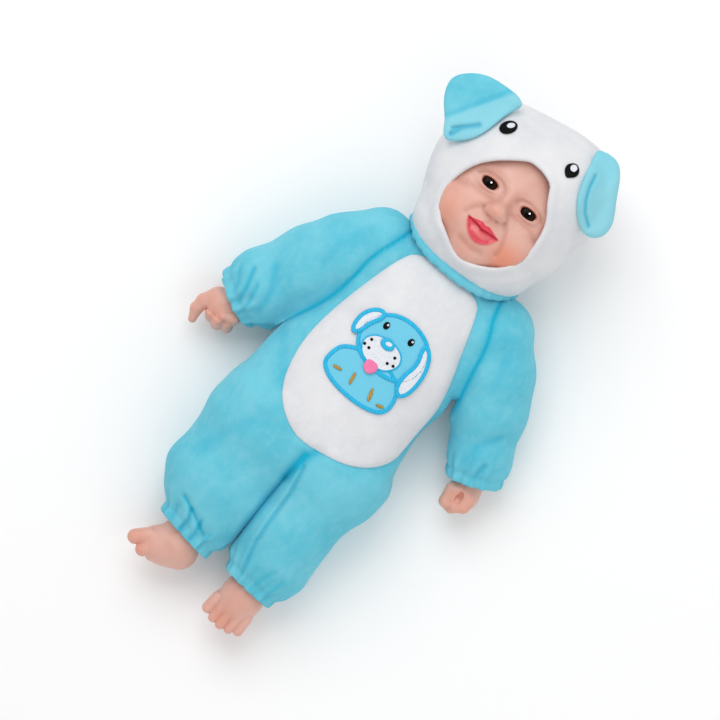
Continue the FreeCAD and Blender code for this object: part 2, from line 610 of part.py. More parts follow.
# back shell: a solid block with the battery bay, the door's recess, the switch well and screw holes
back_shell = new_body("SoundBoxBack", at(0, 0, size("case_back")))
outline = new_sketch(back_shell, "BackOutline")
draw_rectangle(outline, "Sizes.case_width", "Sizes.case_length")
feature(back_shell, "Pad", "BackBlock", outline, case_depth)
bay = new_sketch(back_shell, "BayOutline")
draw_rectangle(bay, "Sizes.bay_width", "Sizes.bay_length", 0, size("bay_centre_y"))
feature(back_shell, "Pocket", "BatteryBay", bay, "Sizes.bay_top - Sizes.case_back", True)
recess = new_sketch(back_shell, "DoorRecess")
draw_rectangle(recess, "Sizes.door_width + 0.6", "Sizes.door_length + 0.8")
feature(back_shell, "Pocket", "DoorSeat", recess, "Sizes.door_thick + 0.3", True)
slot = new_sketch(back_shell, "SwitchSlot")
draw_rectangle(slot, "Sizes.slot_length", "Sizes.slot_width", 2, size("slot_y"))
feature(back_shell, "Pocket", "SwitchMouth", slot, "4", True)
well = new_sketch(back_shell, "SwitchWell", case_depth)
draw_rectangle(well, "Sizes.slot_length + 5", "Sizes.slot_width + 3", 2, size("slot_y"))
feature(back_shell, "Pocket", "SwitchRoom", well, f"{case_depth} - 3")
for label, radius, depth in (("Shank", "Sizes.screw_radius + 0.2", case_depth),
                             ("Head", "Sizes.screw_head_radius + 0.2", "Sizes.screw_head_thick + 0.4")):
    holes = new_sketch(back_shell, f"Screw{label}s")
    for x, y in case_screws:
        draw_circle(holes, radius, x, y)
    feature(back_shell, "Pocket", f"Screw{label}Holes", holes, depth, True)
catch = new_sketch(back_shell, "DoorCatch")
draw_circle(catch, "Sizes.screw_radius + 0.5", 0, size("door_screw_y"))
feature(back_shell, "Pocket", "DoorCatchHole", catch, "12", True)
wire_holes = new_sketch(back_shell, "WireHoles", case_depth)
for sign in (-1, 1):
    draw_circle(wire_holes, "0.9", sign * 15.0, 22.6)
feature(back_shell, "Pocket", "WireWay", wire_holes, "3")
keep_in_case(back_shell, "sound_box_back")

# front shell: walls and a plate with the speaker grille and the button's hole
front_depth = "Sizes.case_front - Sizes.case_split"
front_shell = new_body("SoundBoxFront", at(0, 0, size("case_split")))
outline = new_sketch(front_shell, "FrontOutline")
draw_rectangle(outline, "Sizes.case_width", "Sizes.case_length")
feature(front_shell, "Pad", "FrontBlock", outline, front_depth)
inside = new_sketch(front_shell, "FrontInside")
draw_rectangle(inside, "Sizes.case_width - 2 * Sizes.case_wall", "Sizes.case_length - 2 * Sizes.case_wall")
feature(front_shell, "Pocket", "FrontRoom", inside, f"{front_depth} - Sizes.case_wall", True)
posts = new_sketch(front_shell, "ScrewPosts")
for x, y in case_screws:
    draw_circle(posts, "Sizes.screw_radius + 2", x, y)
feature(front_shell, "Pad", "Posts", posts, f"{front_depth} - 1")
pilots = new_sketch(front_shell, "PilotHoles")
for x, y in case_screws:
    draw_circle(pilots, "Sizes.screw_radius + 0.02", x, y)
feature(front_shell, "Pocket", "Pilots", pilots, "10", True)
button_hole = new_sketch(front_shell, "ButtonHole", front_depth)
draw_circle(button_hole, "Sizes.button_radius + 0.3", 0, size("button_y"))
feature(front_shell, "Pocket", "ButtonWay", button_hole, "Sizes.case_wall + 1")
centre_hole = new_sketch(front_shell, "GrilleCentre", front_depth)
GRILLE_HOLE = "1.1"
draw_circle(centre_hole, GRILLE_HOLE, 0, size("speaker_y"))
for count, spread in ((6, 4.5), (12, 9.0), (18, 13.5)):
    for i in range(count):
        angle = 2 * math.pi * i / count
        draw_circle(centre_hole, GRILLE_HOLE, spread * math.cos(angle),
                    size("speaker_y") + spread * math.sin(angle))
feature(front_shell, "Pocket", "Grille", centre_hole, "Sizes.case_wall + 1")
keep_in_case(front_shell, "sound_box_front")

# battery door: a plate that hooks in at one edge and is held at the other by its screw
door = new_body("BatteryDoor", at(0, 0, size("case_back")))
plate = new_sketch(door, "DoorPlate")
draw_rectangle(plate, "Sizes.door_width", "Sizes.door_length")
feature(door, "Pad", "DoorPad", plate, "Sizes.door_thick")
hole = new_sketch(door, "DoorScrewHole")
draw_circle(hole, "Sizes.screw_radius + 0.1", 0, size("door_screw_y"))
feature(door, "Pocket", "DoorScrewWay", hole, "Sizes.door_thick + 1", True)
grips = new_sketch(door, "DoorGrips")
for i in range(4):
    draw_rectangle(grips, "16", "1.2", 0, 8.0 + 3.0 * i)
feature(door, "Pocket", "GripGrooves", grips, "0.6", True)
keep_in_case(door, "battery_door")


def screw(name, x, y, seat, length, room=0.0):
    """A pan-head screw whose head lies below its seat and whose shank points up into the case."""
    body = new_body(name, at(x, y, seat))
    head_sketch = new_sketch(body, f"{name}Head")
    draw_circle(head_sketch, "Sizes.screw_head_radius")
    feature(body, "Pad", f"{name}HeadPad", head_sketch, "Sizes.screw_head_thick", True)
    shank_sketch = new_sketch(body, f"{name}Shank")
    draw_circle(shank_sketch, "Sizes.screw_radius")
    feature(body, "Pad", f"{name}ShankPad", shank_sketch, str(length))
    slot_sketch = new_sketch(body, f"{name}Slot", f"-Sizes.screw_head_thick - {room}")
    draw_rectangle(slot_sketch, "3.2", "0.7")
    draw_sketch_cross = new_sketch(body, f"{name}Cross", f"-Sizes.screw_head_thick - {room}")
    draw_rectangle(draw_sketch_cross, "0.7", "3.2")
    feature(body, "Pocket", f"{name}SlotCut", slot_sketch, "0.9", True)
    feature(body, "Pocket", f"{name}CrossCut", draw_sketch_cross, "0.9", True)
    return body


keep_in_case(screw("DoorScrew", 0, size("door_screw_y"), size("case_back"), 7.0), "door_screw")
head_seat = size("case_back") + size("screw_head_thick") + 0.4
keep_in_case(group("CasingScrews", *[screw(f"CasingScrew{i}", x, y, head_seat, size("case_split") + 8 - head_seat)
                             for i, (x, y) in enumerate(case_screws)]), "casing_screws")

# three cells side by side, and the contacts at both ends of the bay
cell_y = size("bay_centre_y") - size("cell_length") / 2
cell_height = size("case_back") + size("door_thick") + 0.6 + size("cell_radius")
cells = []
for i in (-1, 0, 1):
    cell_x = i * size("cell_pitch")
    can = cylinder(f"CellCan{i + 1}", at(cell_x, cell_y, cell_height, TO_Y), "Sizes.cell_radius",
                   "Sizes.cell_length - Sizes.nub_length")
    nub_y = cell_y + size("cell_length") - size("nub_length") if i else cell_y - size("nub_length")
    nub = cylinder(f"CellNub{i + 1}", at(cell_x, nub_y, cell_height, TO_Y), "Sizes.nub_radius",
                   "Sizes.nub_length")
    cells.append(fuse(f"Cell{i + 1}", can, nub))
keep_in_case(group("Batteries", *cells), "batteries")
contacts = []
CONTACT = 0.4
bay_ends = {"low": size("bay_centre_y") - size("bay_length") / 2,
            "high": size("bay_centre_y") + size("bay_length") / 2 - CONTACT}
for end, end_y in bay_ends.items():
    for i in (-1, 1):
        reach = 13.0 if end == "high" else 6.4
        left = i * 15.2 - reach / 2 if end == "high" else (i * 11.0 - 10.5)
        width = reach if end == "high" else 21.0
        contacts.append(box(f"Contact_{end}{i + 1}", (left, end_y, cell_height - 5),
                            (left + width, end_y + CONTACT, size("bay_top"))))
keep_in_case(group("BatteryContacts", *contacts), "battery_contacts")
keep_in_case(group("BatteryLeads", *[cylinder(f"BatteryLead{i + 1}", at(i * 15.0, 22.6, size("bay_top") - 1.2),
                                      "0.6", "Sizes.board_low - Sizes.bay_top + 1.2") for i in (-1, 1)]),
     "battery_leads")

# circuit board with its chip, switch and screws
board = new_body("CircuitBoard", at(0, size("board_centre_y"), size("board_low")))
board_sketch = new_sketch(board, "BoardOutline")
draw_rectangle(board_sketch, "Sizes.board_width", "Sizes.board_length")
feature(board, "Pad", "BoardPad", board_sketch, "Sizes.board_thick")
keep_in_case(board, "circuit_board")
board_top = size("board_low") + size("board_thick")
chip = common("ChipBlob", ellipsoid("ChipDome", at(-14, 12, board_top), "4.5", "4.5", "2"),
              box("ChipAbove", (-FAR, -FAR, board_top), (FAR, FAR, FAR)))
keep_in_case(chip, "chip_blob")
keep_in_case(fuse("TactSwitch", box("TactBody", (-3, size("button_y") - 3, board_top),
                            (3, size("button_y") + 3, board_top + 2.2)),
          cylinder("TactPlunger", at(0, size("button_y"), board_top + 2.2), "1.7", "0.6")), "tact_switch")
keep_in_case(group("BoardPosts", *[cylinder(f"BoardPost{i + 1}", at(i * 18.0, 31.0, size("case_split")), "2",
                                    "Sizes.board_low - Sizes.case_split") for i in (-1, 1)]), "board_posts")

# slide switch in its well, and the knob that moves it
switch_low = size("case_back") + 4.6
keep_in_case(box("SlideSwitch", (2 - 6, size("slot_y") - 2.6, switch_low), (2 + 6, size("slot_y") + 2.6,
                                                                    switch_low + 5)), "slide_switch")
knob = fuse("PowerSlider", box("SliderKnob", (-2.4, size("slot_y") - 1.5, size("case_back") - 1.4),
                               (2.4, size("slot_y") + 1.5, size("case_back") + 3.2)),
            box("SliderPlate", (-4.0, size("slot_y") - 2.6, size("case_back") + 3.2),
                (4.0, size("slot_y") + 2.6, size("case_back") + 4.2)))
keep_in_case(knob, "power_slider")

# the button that the belly presses, its spring, and the speaker
button = new_body("PushButton", at(0, size("button_y"), size("stem_bottom")))
cap_sketch = new_sketch(button, "ButtonCap")
draw_circle(cap_sketch, "Sizes.button_radius")
feature(button, "Pad", "ButtonCapPad", cap_sketch,
        "Sizes.case_front + Sizes.button_proud - Sizes.stem_bottom")
flange_sketch = new_sketch(button, "ButtonFlange",
                           "Sizes.case_front - Sizes.case_wall - 0.2 - Sizes.stem_bottom"
                           " - Sizes.button_flange_thick")
draw_circle(flange_sketch, "Sizes.button_flange_radius")
feature(button, "Pad", "ButtonFlangePad", flange_sketch, "Sizes.button_flange_thick")
button_room = new_sketch(button, "ButtonRoom")
draw_circle(button_room, "Sizes.button_radius - 1.6")
feature(button, "Pocket", "ButtonHollow", button_room,
        "Sizes.case_front + Sizes.button_proud - Sizes.stem_bottom - 2", True)
stem_sketch = new_sketch(button, "ButtonStem")
draw_circle(stem_sketch, "2.2")
feature(button, "Pad", "ButtonStemPad", stem_sketch,
        "Sizes.case_front + Sizes.button_proud - Sizes.stem_bottom - 1")
keep_in_case(button, "push_button")

spring_top = size("case_front") + size("button_proud") - 2.0
spring_rise = spring_top - board_top - 2 * size("spring_wire")
coil = doc.addObject("Part::Helix", "SpringPath")
coil.setExpression("Radius", "Sizes.spring_radius")
coil.Height = spring_rise
coil.Pitch = spring_rise / 5
coil.Placement = at(0, size("button_y"), board_top + size("spring_wire"))
wire = doc.addObject("Part::Circle", "SpringWire")
wire.setExpression("Radius", "Sizes.spring_wire")
wire.Placement = at(size("spring_radius"), size("button_y"), board_top + size("spring_wire"),
                    turned(X_AXIS, 90))
spring = doc.addObject("Part::Sweep", "ButtonSpring")
spring.Sections = [wire]
spring.Spine = (coil, [])
spring.Solid = True
spring.Frenet = True
keep_in_case(spring, "button_spring")

speaker_top = size("case_front") - size("case_wall")
basket_low = speaker_top - 6.5
basket_rim = cylinder("BasketRim", at(0, size("speaker_y"), speaker_top - 1.5), "Sizes.speaker_radius", "1.5")
basket_cone = solid("Cone", "BasketCone", at(0, size("speaker_y"), basket_low), Radius1="11",
                    Radius2="Sizes.speaker_radius - 1", Height="5")
basket_void = solid("Cone", "BasketVoid", at(0, size("speaker_y"), basket_low + 1), Radius1="9.6",
                    Radius2="Sizes.speaker_radius - 1.6", Height="5.5")
keep_in_case(cut("SpeakerBasket", fuse("BasketForm", basket_rim, basket_cone), basket_void), "speaker_basket")
keep_in_case(cylinder("SpeakerMagnet", at(0, size("speaker_y"), basket_low - size("magnet_thick")),
              "Sizes.magnet_radius", "Sizes.magnet_thick"), "speaker_magnet")
cone_low = basket_low + 2.4
cone_out = solid("Cone", "ConeOutside", at(0, size("speaker_y"), cone_low), Radius1="8",
                 Radius2="Sizes.speaker_radius - 4.2", Height="3")
cone_in = solid("Cone", "ConeInside", at(0, size("speaker_y"), cone_low + 0.5), Radius1="7.6",
                Radius2="Sizes.speaker_radius - 4.2", Height="2.5")
keep_in_case(cut("SpeakerCone", cone_out, cone_in), "speaker_cone")
keep_in_case(group("SpeakerLeads", *[cylinder(f"SpeakerLead{i + 1}",
                                      at(i * 4.0, size("speaker_y") + 11.4, board_top + 0.65, TO_Y),
                                      "0.6", "14") for i in (-1, 1)]), "speaker_leads")

doc.recompute()

# ---------------------------------------------------------------- checks and export
for item in doc.Objects:
    if "Invalid" in item.State or "Error" in item.State:
        raise RuntimeError(f"{item.Name} did not compute: {item.State}")
for node, item in nodes.items():
    if item.Shape.isNull() or not item.Shape.isValid():
        raise RuntimeError(f"{node} has no valid shape")
os.makedirs("parts", exist_ok=True)
for node, item in nodes.items():
    item.Shape.exportStep(f"parts/{node}.step")
    print(f"{node}: {len(item.Shape.Solids)} solids, {item.Shape.Volume / 1000:.2f} cm3")
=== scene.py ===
import json
import math

import bmesh
import bpy
import numpy as np
import openvdb
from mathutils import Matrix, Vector


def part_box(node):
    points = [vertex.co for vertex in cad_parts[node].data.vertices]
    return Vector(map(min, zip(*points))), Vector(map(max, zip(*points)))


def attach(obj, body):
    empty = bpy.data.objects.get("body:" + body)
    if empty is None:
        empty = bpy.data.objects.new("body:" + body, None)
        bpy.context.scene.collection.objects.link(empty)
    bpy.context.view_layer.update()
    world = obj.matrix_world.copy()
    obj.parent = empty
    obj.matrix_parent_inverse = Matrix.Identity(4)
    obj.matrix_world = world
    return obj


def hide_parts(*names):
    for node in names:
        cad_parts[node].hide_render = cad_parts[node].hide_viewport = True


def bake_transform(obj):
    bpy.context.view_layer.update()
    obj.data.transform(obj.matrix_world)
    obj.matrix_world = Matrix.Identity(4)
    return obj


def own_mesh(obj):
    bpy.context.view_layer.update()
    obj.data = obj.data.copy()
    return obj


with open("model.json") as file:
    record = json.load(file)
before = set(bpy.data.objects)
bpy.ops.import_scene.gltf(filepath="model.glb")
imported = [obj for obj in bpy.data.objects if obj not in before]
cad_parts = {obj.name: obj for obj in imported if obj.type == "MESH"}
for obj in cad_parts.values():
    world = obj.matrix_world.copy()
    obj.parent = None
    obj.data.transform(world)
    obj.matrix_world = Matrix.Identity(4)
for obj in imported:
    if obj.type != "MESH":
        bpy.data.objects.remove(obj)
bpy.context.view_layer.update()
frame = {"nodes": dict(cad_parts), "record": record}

# Every surface below is the zero level of a field in millimetres, negative inside. The doll lies
# on its back: +Y runs to the head, +X to its own left, +Z out of the belly.
MM = 0.001


# ---- field tools

# Outlines are drawn as they look from the camera, on a plane 60 mm up.
CAMERA = (-7.9, -11.2, 2771.0)
PLANE = 60.0


def lay(points, z):
    """The same outline for something that lies at height z."""
    k = (CAMERA[2] - z) / (CAMERA[2] - PLANE)
    middle = np.array(CAMERA[:2])
    return middle + (np.array(points, float) - middle) * k


def smin(a, b, k):
    h = np.clip(0.5 + 0.5 * (b - a) / k, 0, 1)
    return b + (a - b) * h - k * h * (1 - h)


def smax(a, b, k):
    return -smin(-a, -b, k)


def length(*parts):
    return np.sqrt(sum(q * q for q in parts))


def ellipsoid(p, centre, radii):
    d = [(p[i] - centre[i]) for i in range(3)]
    k0 = length(*[d[i] / radii[i] for i in range(3)])
    k1 = length(*[d[i] / radii[i] ** 2 for i in range(3)]) + 1e-6
    return k0 * (k0 - 1) / k1


def bone(p, a, b, ra, rb):
    """A capsule from a to b whose radius goes from ra to rb."""
    e = [b[i] - a[i] for i in range(3)]
    t = sum((p[i] - a[i]) * e[i] for i in range(3)) / sum(q * q for q in e)
    t = np.clip(t, 0, 1)
    return length(*[p[i] - a[i] - t * e[i] for i in range(3)]) - (ra + (rb - ra) * t)


def chain(p, points, radii, k=3.0):
    """Capsules from point to point, melted together."""
    f = bone(p, points[0], points[1], radii[0], radii[1])
    for i in range(1, len(points) - 1):
        f = smin(f, bone(p, points[i], points[i + 1], radii[i], radii[i + 1]), k)
    return f


def curve(t, knots, values):
    """A smooth curve through the values, level beyond its ends."""
    k = np.array(knots, float)
    v = np.array(values, float)
    m = np.gradient(v, k)
    t = np.clip(t, k[0], k[-1])
    i = np.clip(np.searchsorted(k, t, side="right") - 1, 0, len(k) - 2)
    h = k[i + 1] - k[i]
    s = (t - k[i]) / h
    return (
        (1 + 2 * s) * (1 - s) ** 2 * v[i]
        + s * (1 - s) ** 2 * h * m[i]
        + s * s * (3 - 2 * s) * v[i + 1]
        + s * s * (s - 1) * h * m[i + 1]
    )


def rounded(points, times=3, closed=True):
    """The same outline with its corners cut off again and again."""
    pts = np.array(points, float)
    for _ in range(times):
        nxt = np.roll(pts, -1, axis=0) if closed else pts[1:]
        cur = pts if closed else pts[:-1]
        cut = np.stack([cur * 0.75 + nxt * 0.25, cur * 0.25 + nxt * 0.75], 1).reshape(-1, pts.shape[1])
        pts = cut if closed else np.vstack([pts[:1], cut, pts[-1:]])
    return pts


def outline(x, y, points):
    """Signed distance to a closed outline, negative inside."""
    best = np.full(np.broadcast(x, y).shape, 1e9)
    inside = np.zeros(best.shape, bool)
    for (ax, ay), (bx, by) in zip(points, np.roll(points, -1, axis=0)):
        ex, ey = bx - ax, by - ay
        t = np.clip(((x - ax) * ex + (y - ay) * ey) / (ex * ex + ey * ey + 1e-9), 0, 1)
        best = np.minimum(best, (x - ax - t * ex) ** 2 + (y - ay - t * ey) ** 2)
        if ay != by:
            inside = inside ^ (((ay > y) != (by > y)) & (x < ax + ex * (y - ay) / (by - ay)))
    d = np.sqrt(best)
    return np.where(inside, -d, d)


def line(x, y, points):
    """Distance to an open line."""
    best = np.full(np.broadcast(x, y).shape, 1e9)
    for (ax, ay), (bx, by) in zip(points[:-1], points[1:]):
        ex, ey = bx - ax, by - ay
        t = np.clip(((x - ax) * ex + (y - ay) * ey) / (ex * ex + ey * ey + 1e-9), 0, 1)
        best = np.minimum(best, (x - ax - t * ex) ** 2 + (y - ay - t * ey) ** 2)
    return np.sqrt(best)


def swell(p, size, seed):
    """Smooth unevenness from -1 to 1 whose bumps are about size across."""
    rng = np.random.default_rng(seed)
    total = 0
    for _ in range(6):
        way = rng.normal(size=3)
        way /= np.linalg.norm(way)
        wave = 2 * math.pi / (size * rng.uniform(0.8, 1.7))
        total = total + np.sin(wave * (p[0] * way[0] + p[1] * way[1] + p[2] * way[2]) + rng.uniform(0, 6.28))
    return total / 4


def slab(edge, off, thick, round_):
    """A pad: edge is the distance to its outline, off the height off its middle surface."""
    q = length(np.maximum(edge + round_, 0), off * (round_ / thick)) - round_
    return q / max(1.0, round_ / thick)


def gauss(d, width):
    return np.exp(-((d / width) ** 2))


def ramp(t, a, b):
    """0 at a, 1 at b, smooth between."""
    s = np.clip((t - a) / (b - a), 0, 1)
    return s * s * (3 - 2 * s)


# ---- meshes

def points_of(obj):
    v = np.empty(len(obj.data.vertices) * 3)
    obj.data.vertices.foreach_get("co", v)
    return v.reshape(-1, 3) / MM


def slope(field, pts, h=0.15):
    g = np.empty_like(pts)
    for i in range(3):
        step = np.zeros(3)
        step[i] = h
        a = field(list((pts + step).T))
        b = field(list((pts - step).T))
        g[:, i] = (a - b) / (2 * h)
    return g


def place(name, data):
    """A new object of the scene."""
    obj = bpy.data.objects.new(name, data)
    bpy.context.scene.collection.objects.link(obj)
    return obj


def solid(name, field, low, high, step):
    """The closed surface of a field in a box, as an object."""
    axes = [np.arange(low[i] - 2 * step, high[i] + 3 * step, step) for i in range(3)]
    grid = [a.reshape([-1 if i == j else 1 for j in range(3)]) for i, a in enumerate(axes)]
    values = np.broadcast_to(field(grid), [len(a) for a in axes])
    values = np.clip(values, -3 * step, 3 * step).astype(np.float32)
    for i in range(3):
        edge = [slice(None)] * 3
        for end in (0, -1):
            edge[i] = end
            values[tuple(edge)] = 3 * step
    tree = openvdb.FloatGrid(3 * step)
    tree.copyFromArray(values)
    pts, quads = tree.convertToQuads(0.0)
    pts = pts.astype(float) * step + np.array([a[0] for a in axes])
    for _ in range(2):
        v = field(list(pts.T))
        g = slope(field, pts)
        n = np.maximum((g * g).sum(1), 0.2)
        pts -= np.clip(v / n, -0.4 * step, 0.4 * step)[:, None] * g
    mesh = bpy.data.meshes.new(name)
    mesh.from_pydata((pts * MM).tolist(), [], quads.tolist())
    mesh.update()
    mesh.shade_smooth()
    return place(name, mesh)


def height(field, x, y, top=125.0, low=20.0):
    """The highest z where the field is solid under (x, y)."""
    zs = np.arange(top, low, -0.25)
    v = field([np.full_like(zs, x), np.full_like(zs, y), zs])
    hit = np.flatnonzero(v < 0)
    return float(zs[hit[0]]) if len(hit) else low


def paint(obj, name, values):
    """A number per point of the mesh, which its material reads."""
    at = obj.data.attributes.new(name, "FLOAT", "POINT")
    at.data.foreach_set("value", np.asarray(values, np.float32))


def dress(obj, material, slot, body, *nodes):
    obj.data.materials.clear()
    obj.data.materials.append(material)
    if body:
        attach(obj, body)
    if nodes:
        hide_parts(*nodes)
    return obj


# ---- materials

def lin(r, g, b):
    """A colour as a screen shows it, 0 to 255, as the renderer wants it."""
    def one(c):
        c = c / 255
        return c / 12.92 if c <= 0.04045 else ((c + 0.055) / 1.055) ** 2.4
    return (one(r), one(g), one(b), 1.0)


class Look:
    """One node material built step by step."""

    def __init__(self, name, **sockets):
        self.m = bpy.data.materials.new(name)
        self.m.use_nodes = True
        self.t = self.m.node_tree
        self.bsdf = self.t.nodes["Principled BSDF"]
        for key, value in sockets.items():
            self.bsdf.inputs[key.replace("_", " ")].default_value = value
        self.coords = self.t.nodes.new("ShaderNodeTexCoord").outputs["Object"]

    def node(self, kind, inputs=(), **props):
        n = self.t.nodes.new("ShaderNode" + kind)
        for k, v in props.items():
            setattr(n, k, v)
        for k, v in dict(inputs).items():
            if isinstance(v, bpy.types.NodeSocket):
                self.t.links.new(v, n.inputs[k])
            else:
                n.inputs[k].default_value = v
        return n

    def noise(self, size_mm, detail=3.0, rough=0.55, stretch=None):
        src = self.coords
        if stretch:
            src = self.node("Mapping", {"Vector": src, "Scale": stretch}).outputs[0]
        sockets = {"Vector": src, "Scale": 1000 / size_mm, "Detail": detail, "Roughness": rough}
        return self.node("TexNoise", sockets).outputs["Fac"]

    def wave(self, size_mm, direction="X", distort=1.0):
        sockets = {"Vector": self.coords, "Scale": 1000 / size_mm / 6.28, "Distortion": distort}
        return self.node("TexWave", sockets, bands_direction=direction).outputs["Fac"]

    def attribute(self, name):
        return self.node("Attribute", attribute_name=name).outputs["Fac"]

    def math(self, op, a, b=0.5, c=0.0):
        return self.node("Math", {0: a, 1: b, 2: c}, operation=op).outputs[0]

    def spread(self, fac, a, b, c=0.0, d=1.0):
        """fac from a..b put on c..d."""
        sockets = {"Value": fac, "From Min": a, "From Max": b, "To Min": c, "To Max": d}
        return self.node("MapRange", sockets).outputs[0]

    def mix(self, fac, a, b):
        n = self.t.nodes.new("ShaderNodeMix")
        n.data_type = "RGBA"
        for socket, v in ((n.inputs[0], fac), (n.inputs[6], a), (n.inputs[7], b)):
            if isinstance(v, bpy.types.NodeSocket):
                self.t.links.new(v, socket)
            else:
                socket.default_value = v
        return n.outputs[2]

    def colour(self, socket):
        self.t.links.new(socket, self.bsdf.inputs["Base Color"])
        return self

    def rough(self, socket):
        self.t.links.new(socket, self.bsdf.inputs["Roughness"])
        return self

    def bumps(self, *layers):
        """Each layer is (height socket, depth in mm)."""
        last = None
        for h, depth in layers:
            ins = {"Height": h, "Distance": depth * MM, "Strength": 1.0}
            if last is not None:
                ins["Normal"] = last
            last = self.node("Bump", ins).outputs[0]
        self.t.links.new(last, self.bsdf.inputs["Normal"])
        return self


def plush(name, base, deep, pale, fold, sheen, tint):
    """Short brushed pile: nap patches, fine fibre bumps and a soft sheen."""
    k = Look(name, Roughness=0.92, Sheen_Weight=sheen, Sheen_Roughness=0.45, Sheen_Tint=tint,
             Specular_IOR_Level=0.15)
    nap = k.noise(38, 3.0, 0.6)
    fibre = k.noise(1.1, 4.0, 0.7)
    clump = k.noise(4.5, 3.0, 0.6, (1.0, 0.55, 1.0))
    col = k.mix(k.spread(nap, 0.36, 0.64), deep, base)
    col = k.mix(k.spread(clump, 0.45, 0.8, 0.0, 0.35), col, pale)
    col = k.mix(k.spread(fibre, 0.25, 0.5, 0.4, 0.0), col, deep)
    # The ears are painted towards the pale tone: the left one all over, and both more on the parts that face
    # the light, as painted light.
    col = k.mix(k.attribute("paler_and_painted_light"), col, pale)
    # Painted shade: the fold colour in seams and folds, where the "crease" number is high.
    col = k.mix(k.attribute("crease"), col, fold)
    k.colour(col)
    k.bumps((clump, 0.22), (fibre, 0.2))
    return k.m


# The fourth colour of each plush, the fold colour, is painted shade for seams and folds; the third, pale
# colour also serves as painted light on the ears.
BLUE = plush("blue_plush", lin(116, 202, 220), lin(94, 191, 212), lin(148, 212, 225), lin(24, 172, 204), 0.16,
             lin(200, 240, 250))
WHITE = plush("white_plush_cloth", lin(226, 226, 228), lin(216, 217, 221), lin(236, 236, 237),
              lin(186, 190, 206), 0.1, lin(255, 255, 255))


def vinyl():
    """Soft skin-coloured vinyl with painted lips and sprayed blush."""
    k = Look("skin_vinyl", Roughness=0.42, Specular_IOR_Level=0.42, Subsurface_Weight=0.18,
             Subsurface_Scale=0.004, Coat_Weight=0.08, Coat_Roughness=0.35)
    k.bsdf.inputs["Subsurface Radius"].default_value = (1.0, 0.45, 0.3)
    tone = k.noise(14, 3.0, 0.5)
    col = k.mix(k.spread(tone, 0.35, 0.65), lin(216, 164, 148), lin(222, 176, 162))
    col = k.mix(k.attribute("blush"), col, lin(232, 140, 108))
    # Painted shade round the eyes, in the nostrils, beside the nose and along the smile lines, and the
    # painted lash line on the upper lids.
    col = k.mix(k.attribute("shade"), col, lin(150, 78, 60))
    col = k.mix(k.attribute("lip"), col, lin(222, 68, 86))
    # Painted shade: dark red in the groove where the upper lip overhangs the open mouth.
    col = k.mix(k.attribute("deep"), col, lin(180, 20, 42))
    k.colour(col)
    k.rough(k.spread(k.attribute("lip"), 0.0, 1.0, 0.44, 0.12))
    k.bumps((k.noise(3.0, 4.0, 0.6), 0.06), (k.noise(0.6, 2.0, 0.5), 0.015))
    return k.m


SKIN = vinyl()


def moulded(name, colour, rough=0.4, grain=0.8, depth=0.02):
    k = Look(name, Roughness=rough)
    tone = k.noise(9, 3.0)
    c = np.array(colour)
    k.colour(k.mix(k.spread(tone, 0.3, 0.7), tuple(c * [0.9, 0.9, 0.9, 1]), tuple(np.minimum(c * 1.06, 1.0))))
    k.rough(k.spread(k.noise(4, 4.0), 0.3, 0.7, rough * 0.85, min(1.0, rough * 1.2)))
    k.bumps((k.noise(grain, 3.0), depth))
    return k.m


def metal(name, colour, rough=0.25, direction="X"):
    k = Look(name, Metallic=1.0, Roughness=rough)
    k.colour(k.mix(k.spread(k.noise(3, 4.0), 0.3, 0.7), colour, tuple(np.array(colour) * [0.8, 0.8, 0.8, 1])))
    k.rough(k.spread(k.wave(0.4, direction, 4.0), 0.0, 1.0, rough * 0.8, rough * 1.4))
    k.bumps((k.wave(0.3, direction, 3.0), 0.006))
    return k.m


def thread(name, colour, shade, direction="DIAGONAL", sheen=0.25, gloss=0.5):
    """Satin stitch: close shiny threads side by side."""
    k = Look(name, Roughness=0.45, Sheen_Weight=sheen, Sheen_Roughness=0.3, Specular_IOR_Level=gloss)
    rows = k.wave(0.55, direction, 2.0)
    col = k.mix(k.spread(rows, 0.1, 0.6, 0.55, 0.0), colour, shade)
    col = k.mix(k.spread(k.noise(2.2, 3.0), 0.45, 0.75, 0.0, 0.5), col, shade)
    k.colour(col)
    k.bumps((rows, 0.16), (k.noise(1.2, 3.0), 0.1))
    return k.m


def woven(name, colour, shade, pitch=0.7):
    k = Look(name, Roughness=0.85, Sheen_Weight=0.15)
    warp = k.wave(pitch, "X", 0.4)
    weft = k.wave(pitch, "Y", 0.4)
    grid = k.math("MULTIPLY", warp, weft)
    k.colour(k.mix(k.spread(grid, 0.0, 0.7, 0.6, 0.0), colour, shade))
    k.bumps((grid, 0.12), (k.noise(0.5, 2.0), 0.05))
    return k.m


def board_look():
    k = Look("green_board", Roughness=0.35, Coat_Weight=0.3)
    tracks = k.node("TexBrick", {"Vector": k.coords, "Scale": 260.0, "Mortar Size": 0.03,
                                 "Color1": lin(24, 92, 58), "Color2": lin(28, 104, 64),
                                 "Mortar": lin(58, 140, 84)})
    k.colour(tracks.outputs["Color"])
    k.bumps((tracks.outputs["Fac"], 0.03))
    return k.m


def cell_look():
    k = Look("cell_sleeve", Roughness=0.28, Coat_Weight=0.4)
    band = k.node("SeparateXYZ", {"Vector": k.coords}).outputs["X"]
    col = k.mix(k.spread(k.math("ABSOLUTE", band), 0.016, 0.0165), lin(38, 44, 52), lin(196, 150, 60))
    k.colour(k.mix(k.spread(k.noise(6, 3.0), 0.4, 0.8, 0.0, 0.3), col, lin(90, 92, 96)))
    k.bumps((k.noise(1.5, 3.0), 0.02))
    return k.m


